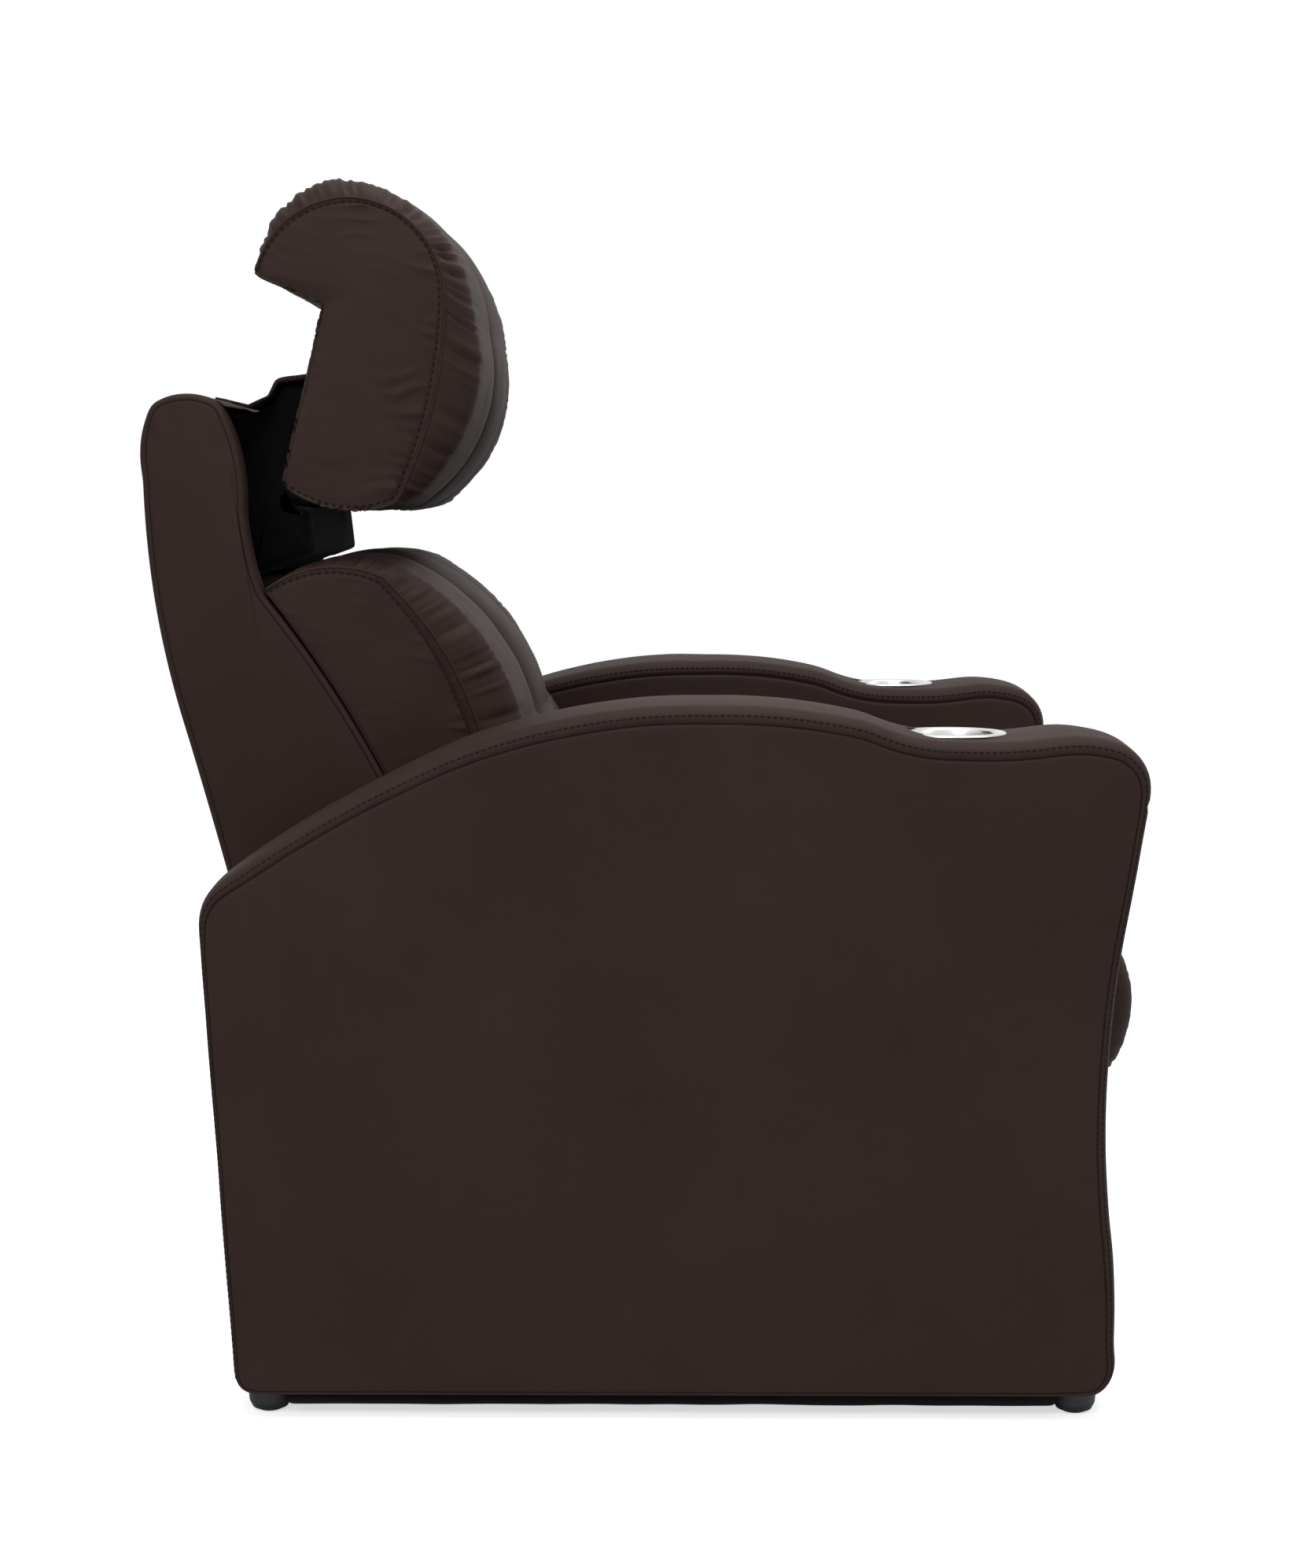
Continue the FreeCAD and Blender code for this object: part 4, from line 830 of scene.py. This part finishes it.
lumbar_side = [
    (-387, 800.3), ((-327, 821), (-272, 811)), ((-219, 741), (-180, 652)),
    ((-135, 566), (-124, 495)), ((-150, 488), (-203, 487)), ((-225.1, 539.4), (-263.1, 607.4)),
    ((-321.1, 707.3), (-387, 800.3)),
]
lumbar_middle = [
    (-387, 802.3), ((-318, 836), (-248, 830)), ((-172, 778), (-112, 668)),
    ((-78, 590), (-92, 503)), ((-140, 492), (-203, 487)), ((-225.1, 539.4), (-263.1, 607.4)),
    ((-321.1, 707.3), (-387, 802.3)),
]
build_cushion("lumbar_leather", "back", "lumbar_cushion", BACK_HALF - 4, lumbar_side, lumbar_middle,
              centre=(-228, 680), edge=26, channel=0.42, bulge=1.5, seed=37, ruche=6.5, ruche_reach=22.0,
              side_folds=4.4, seam_moves=3)

head_side = [
    (-367, 906), (-323, 1084), (-391, 1114), ((-363, 1160), (-300, 1186)),
    ((-230, 1156), (-206, 1088)), ((-216, 1004), (-254, 889)), ((-311, 881), (-367, 906)),
]
head_middle = [
    (-367, 906), (-323, 1084), (-394, 1117), ((-372, 1184), (-316, 1219)),
    ((-212, 1172), (-163, 1060)), ((-171, 960), (-240, 886)), ((-309, 883), (-367, 906)),
]
build_cushion("headrest_leather", "headrest", "headrest_cushion", BACK_HALF, head_side, head_middle,
              centre=(-288, 1098), edge=30, channel=0.30, bulge=4.0, seed=51, ruche=9.0, ruche_reach=28.0,
              puff=1.5, side_folds=9.0)


# Back: rear panel, top and boot
def rounding(x, half, radius):
    """How far an edge has turned in at x, from 0 where it starts to 1 at half."""
    edge = min(max(0.0, abs(x) - (half - radius)) / radius, 1.0)
    return 1 - math.sqrt(1 - edge ** 2)


def end_stations(half, radius, n_end, flat, n_flat):
    """x positions across a piece, closer in its rounded ends."""
    end = np.linspace(half - radius, half, n_end)
    return np.concatenate([-end[::-1], np.linspace(-flat, flat, n_flat), end])


def patch_grid(front, back, half, n_along, n_x=60, round_x=10.0):
    """Closed skin between an outer and an inner profile, its side edges rounded."""
    outer = resample(np.array(front), n_along, closed=False)
    inner = resample(np.array(back), n_along, closed=False)
    rows = []
    even = 0.8
    step = math.sin(even * math.pi / 2) / even
    for t in np.linspace(-1, 1, n_x):
        x = half * (math.sin(t * math.pi / 2) if abs(t) > even else t * step)
        turned = outer + (inner - outer) * 0.85 * rounding(x, half, round_x)
        rows.append(at_x(x, np.vstack([turned, inner[::-1]])))
    return np.array(rows)


PANEL_THICK = 14.0
PANEL_POINTS = 90
PANEL_LOW, PANEL_TOP = 300.0, 938.0
rear_outer = [
    *arc_points((-378, PANEL_LOW), (-428, 508), (-469, 658), 40),
    *arc_points((-469, 658), (-501, 810), (-508, 912), 40),
    (-508, 912), (-507.8, 926), (-507.5, PANEL_TOP - 1),
]
rear_inner = [(s + PANEL_THICK, z) for s, z in rear_outer]
grid = patch_grid(rear_outer, rear_inner, PANEL_HALF, PANEL_POINTS)
puff = 1.6 * (1 - (grid[..., 0] / PANEL_HALF) ** 4) + 0.8 * field(grid, 90.0, 4.4)
outer_side = np.zeros(grid.shape[:2], bool)
outer_side[:, 1:PANEL_POINTS - 1] = True
z = grid[..., 2]
fade = np.clip((z - PANEL_LOW) / 25, 0, 1) * np.clip((PANEL_TOP - z) / 14, 0, 1)
grid[..., 1] -= np.where(outer_side, puff * fade, 0)
rear = tube_object("rear_leather", grid, leather, thin=True)
ride(rear, "back", "leather", "back_rear_panel")

top_moves = [
    (-507.5, PANEL_TOP), ((-506.2, 966), (-498, 986.5)), ((-464, 997), (-432, 986)), (-432, 972),
    (-493.5, 972), (-493.5, PANEL_TOP),
]
top_loop, _ = trace(top_moves, step=2.5)
grid = np.array([at_x(x, top_loop) for x in np.linspace(-PANEL_HALF, PANEL_HALF, 70)])
lift = 1.2 * field(grid, 60.0, 8.8) + 0.5 * field(grid, 22.0, 3.3)
grid[..., 2] += np.where(grid[..., 2] > 980, lift, 0)
cap = ride(tube_object("back_top_leather", grid, leather), "back", "leather", "back_top_cap")


REARWARD = (0, 1, 0)
TOP_SEAM_Y, TOP_SEAM_Z = 508.3, 933.5
rear_lines = []
for x in (-232.0, 232.0):
    pts = [(x * MM, -(s - 1.4) * MM, z * MM) for s, z in rear_outer]
    rear_lines.append((pts, [REARWARD] * len(pts), False))
pts = [(x * MM, TOP_SEAM_Y * MM, TOP_SEAM_Z * MM) for x in np.linspace(-243, 243, 60)]
rear_lines.append((pts, [REARWARD] * len(pts), False))
ride(stitches("rear_thread", rear_lines, thread), "back", "leather")

# Cloth boot and leather flap
rear_low, notch = np.array([-367.0, 906.0]), np.array([-323.0, 1084.0])
rear_u = (notch - rear_low) / np.linalg.norm(notch - rear_low)
rear_n = np.array([rear_u[1], -rear_u[0]])


def on_rear(along, inner):
    """Point by its distances up the headrest's rear face, from its low corner, and inwards."""
    return tuple(rear_low + rear_u * along + rear_n * inner)


boot_moves = [
    (-414, 812), (-347, 836), (-352, 882), on_rear(-22, -2.5), on_rear(106, -2.5), (-377, 1008),
    (-386, 992), (-405, 981), (-431, 977),
]
boot_loop, _ = trace(boot_moves, step=3.0)
boot_loop = smooth_loop(resample(ccw(boot_loop), 240), rounds=4)
BOOT_HALF, BOOT_ROUND, BOOT_INSET = 190.0, 12.0, 8.0
BOOT_CENTRE = (0.0, -385.0, 930.0)
rows = []
for x in end_stations(BOOT_HALF, BOOT_ROUND, 7, 170, 70):
    rows.append(at_x(x, offset_loop(boot_loop, BOOT_INSET * rounding(x, BOOT_HALF, BOOT_ROUND))))
border = offset_loop(boot_loop, BOOT_INSET)
hub = border.mean(0)
face_rows = [at_x(BOOT_HALF, hub + (border - hub) * f) for f in 0.05 + 0.95 * np.arange(10) / 10]
grid = np.array([ring * MIRROR for ring in face_rows] + rows + face_rows[::-1])
fold = np.abs(field(grid, 24.0, 6.1, (0.35, 1.0, 1.0))) * 5.0 - 1.5
grid = grid - outward_normals(grid, BOOT_CENTRE) * np.clip(fold, 0, 6)[..., None]
boot = tube_object("boot_cloth", grid, black_cloth)
ride(boot, "back", "black_cloth", "headrest_boot")
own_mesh(boot)

FLAP_HALF, FLAP_NARROW, FLAP_POINTS = 264.0, 0.76, 90
flap_path = smooth_path(resample(np.array([
    on_rear(172, -4), on_rear(112, -4.5), (-360, 1012), (-379, 1010), (-388, 994.5), (-406, 983),
    (-424, 989.5), (-434, 991.5),
]), FLAP_POINTS, closed=False), rounds=2)
tangent = unit(np.gradient(flap_path, axis=0))
away = np.stack([-tangent[:, 1], tangent[:, 0]], 1)
if away[FLAP_POINTS // 2, 0] > 0:
    away = -away
t = np.linspace(0, 1, FLAP_POINTS)
width = FLAP_NARROW + (1 - FLAP_NARROW) * np.clip((t - 0.55) / 0.35, 0, 1) ** 2
width = np.concatenate([width, width[::-1]])
rows = []
for x in np.linspace(-FLAP_HALF, FLAP_HALF, 150):
    wave = 2.6 * math.sin(x / 19.0) * np.sin(t * 9.0) + 1.8 * math.sin(x / 8.3 + 1) * np.sin(t * 5)
    swell = (np.abs(wave) + 1.0) * np.sin(np.pi * t) ** 2
    outer = flap_path + away * (swell + 1.8)[:, None]
    inner = flap_path + away * (swell * 0.3 - 0.4)[:, None]
    rows.append(at_x(x * width, np.vstack([outer, inner[::-1]])))
flap = tube_object("flap_leather", np.array(rows), soft_leather, thin=True)
ride(flap, "back", "leather", "headrest_flap")
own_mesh(flap)

# Painted shadow: dark cloth strips under the arms, standing in for the shade on the floor beneath them
UNDER_ARM_SHADE_X = (292.0, 433.0)
UNDER_ARM_SHADE_S = (-352.0, 399.0)
UNDER_ARM_SHADE_Z = (13.0, 25.0)


def box_loop(s, z, n, rounds):
    """Rectangle between two values of s and two of z, its corners softened."""
    corners = [(s[0], z[0]), (s[1], z[0]), (s[1], z[1]), (s[0], z[1])]
    return smooth_loop(resample(ccw(np.array(corners)), n), rounds)


under_arm_shade_loop = box_loop(UNDER_ARM_SHADE_S, UNDER_ARM_SHADE_Z, 420, rounds=3)
for side, name in SIDES:
    grid = np.array([at_x(side * x, under_arm_shade_loop) for x in np.linspace(*UNDER_ARM_SHADE_X, 24)])
    sag = field(grid, 60.0, 12.0 + side)
    grid[..., 2] -= np.where(grid[..., 2] < sum(UNDER_ARM_SHADE_Z) / 2, np.clip(1.2 * sag, -2, 2), 0)
    # painted shadow: black cloth in place of the shade under the arm
    ride(tube_object("arm_shade_cloth_" + name, grid, black_cloth), "base", "black_cloth")

# Rear board of the base: leather over ply
BOARD_HALF, BOARD_ROUND, BOARD_INSET = HALF_SEAT - 0.5, 6.0, 3.0
base_loop = box_loop((-397, -385), (34, 286), 200, rounds=4)
rows = []
for x in end_stations(BOARD_HALF, BOARD_ROUND, 5, 268, 60):
    rows.append(at_x(x, offset_loop(base_loop, BOARD_INSET * rounding(x, BOARD_HALF, BOARD_ROUND))))
grid = np.array(rows)
grid[..., 1] -= np.where(grid[..., 1] < -391, 0.8 + 0.6 * field(grid, 80.0, 7.7), 0)
ride(tube_object("base_rear_leather", grid, leather), "base", "leather", "base_rear_panel")

# Stage
FLOOR_HALF = 30.0
FLOOR_GLOW = 0.62
floor_mat, tree, bsdf = new_material("floor_white")
put(bsdf, {"Base Color": (0.86, 0.86, 0.86, 1), "Roughness": 0.9, "Specular IOR Level": 0.1})
path = add(tree, "ShaderNodeLightPath")
glow = add(tree, "ShaderNodeEmission")
seen = add(tree, "ShaderNodeMath", operation="MULTIPLY")
seen.inputs[1].default_value = FLOOR_GLOW
tree.links.new(path.outputs["Is Camera Ray"], seen.inputs[0])
tree.links.new(seen.outputs[0], glow.inputs["Strength"])
total = add(tree, "ShaderNodeAddShader")
tree.links.new(bsdf.outputs[0], total.inputs[0])
tree.links.new(glow.outputs[0], total.inputs[1])
tree.links.new(total.outputs[0], tree.nodes["Material Output"].inputs["Surface"])
corners = [(-FLOOR_HALF, -FLOOR_HALF, 0), (FLOOR_HALF, -FLOOR_HALF, 0), (FLOOR_HALF, FLOOR_HALF, 0),
           (-FLOOR_HALF, FLOOR_HALF, 0)]
floor = make_object("floor", corners, [(0, 1, 2, 3)], floor_mat)

# White where the camera, glass and metal see the world, and softer as a light on the chair
WORLD_LIGHT, WORLD_SEEN = 0.42, 1.0
world = bpy.data.worlds.new("studio")
bpy.context.scene.world = world
world.use_nodes = True
tree = world.node_tree
path = add(tree, "ShaderNodeLightPath")
either = path.outputs["Is Camera Ray"]
for ray in ("Is Transmission Ray", "Is Glossy Ray"):
    larger = add(tree, "ShaderNodeMath", operation="MAXIMUM")
    tree.links.new(either, larger.inputs[0])
    tree.links.new(path.outputs[ray], larger.inputs[1])
    either = larger.outputs[0]
back = put(tree.nodes["Background"], {"Color": (1, 1, 1, 1)})
tree.links.new(spread(tree, either, WORLD_LIGHT, WORLD_SEEN), back.inputs["Strength"])


def area(name, place, target, size, power):
    """Rectangular lamp at a place, turned to a target."""
    light = bpy.data.lights.new(name, "AREA")
    light.shape = "RECTANGLE"
    light.size, light.size_y = size
    light.energy = power
    obj = bpy.data.objects.new(name, light)
    obj.location = place
    obj.rotation_euler = (Vector(target) - Vector(place)).to_track_quat("-Z", "Y").to_euler()
    bpy.context.scene.collection.objects.link(obj)


area("top_light", (-0.6, -0.4, 3.4), (0, 0, 0.4), (2.4, 2.0), 84)
area("side_light", (-3.4, 1.2, 2.5), (0, 0, 0.7), (1.4, 1.4), 46)
area("front_light", (-1.6, -3.2, 2.2), (0, 0, 0.7), (1.6, 1.6), 12)

# Camera
FOCAL_PX, FRAME_HEIGHT_PX = 3362.0, 1993
SENSOR = 36.0
EYE = (-2.935, -0.018, 0.887)
PITCH, YAW = math.radians(6.05), math.radians(0.47)
camera = bpy.data.cameras.new("camera")
camera.sensor_width = SENSOR
camera.lens = SENSOR * FOCAL_PX / FRAME_HEIGHT_PX
eye = bpy.data.objects.new("camera", camera)
eye.location = EYE
aim = Vector((math.cos(PITCH) * math.cos(YAW), math.cos(PITCH) * math.sin(YAW), -math.sin(PITCH)))
eye.rotation_euler = aim.to_track_quat("-Z", "Y").to_euler()
bpy.context.scene.collection.objects.link(eye)
bpy.context.scene.camera = eye
bpy.context.scene.view_settings.view_transform = "Standard"
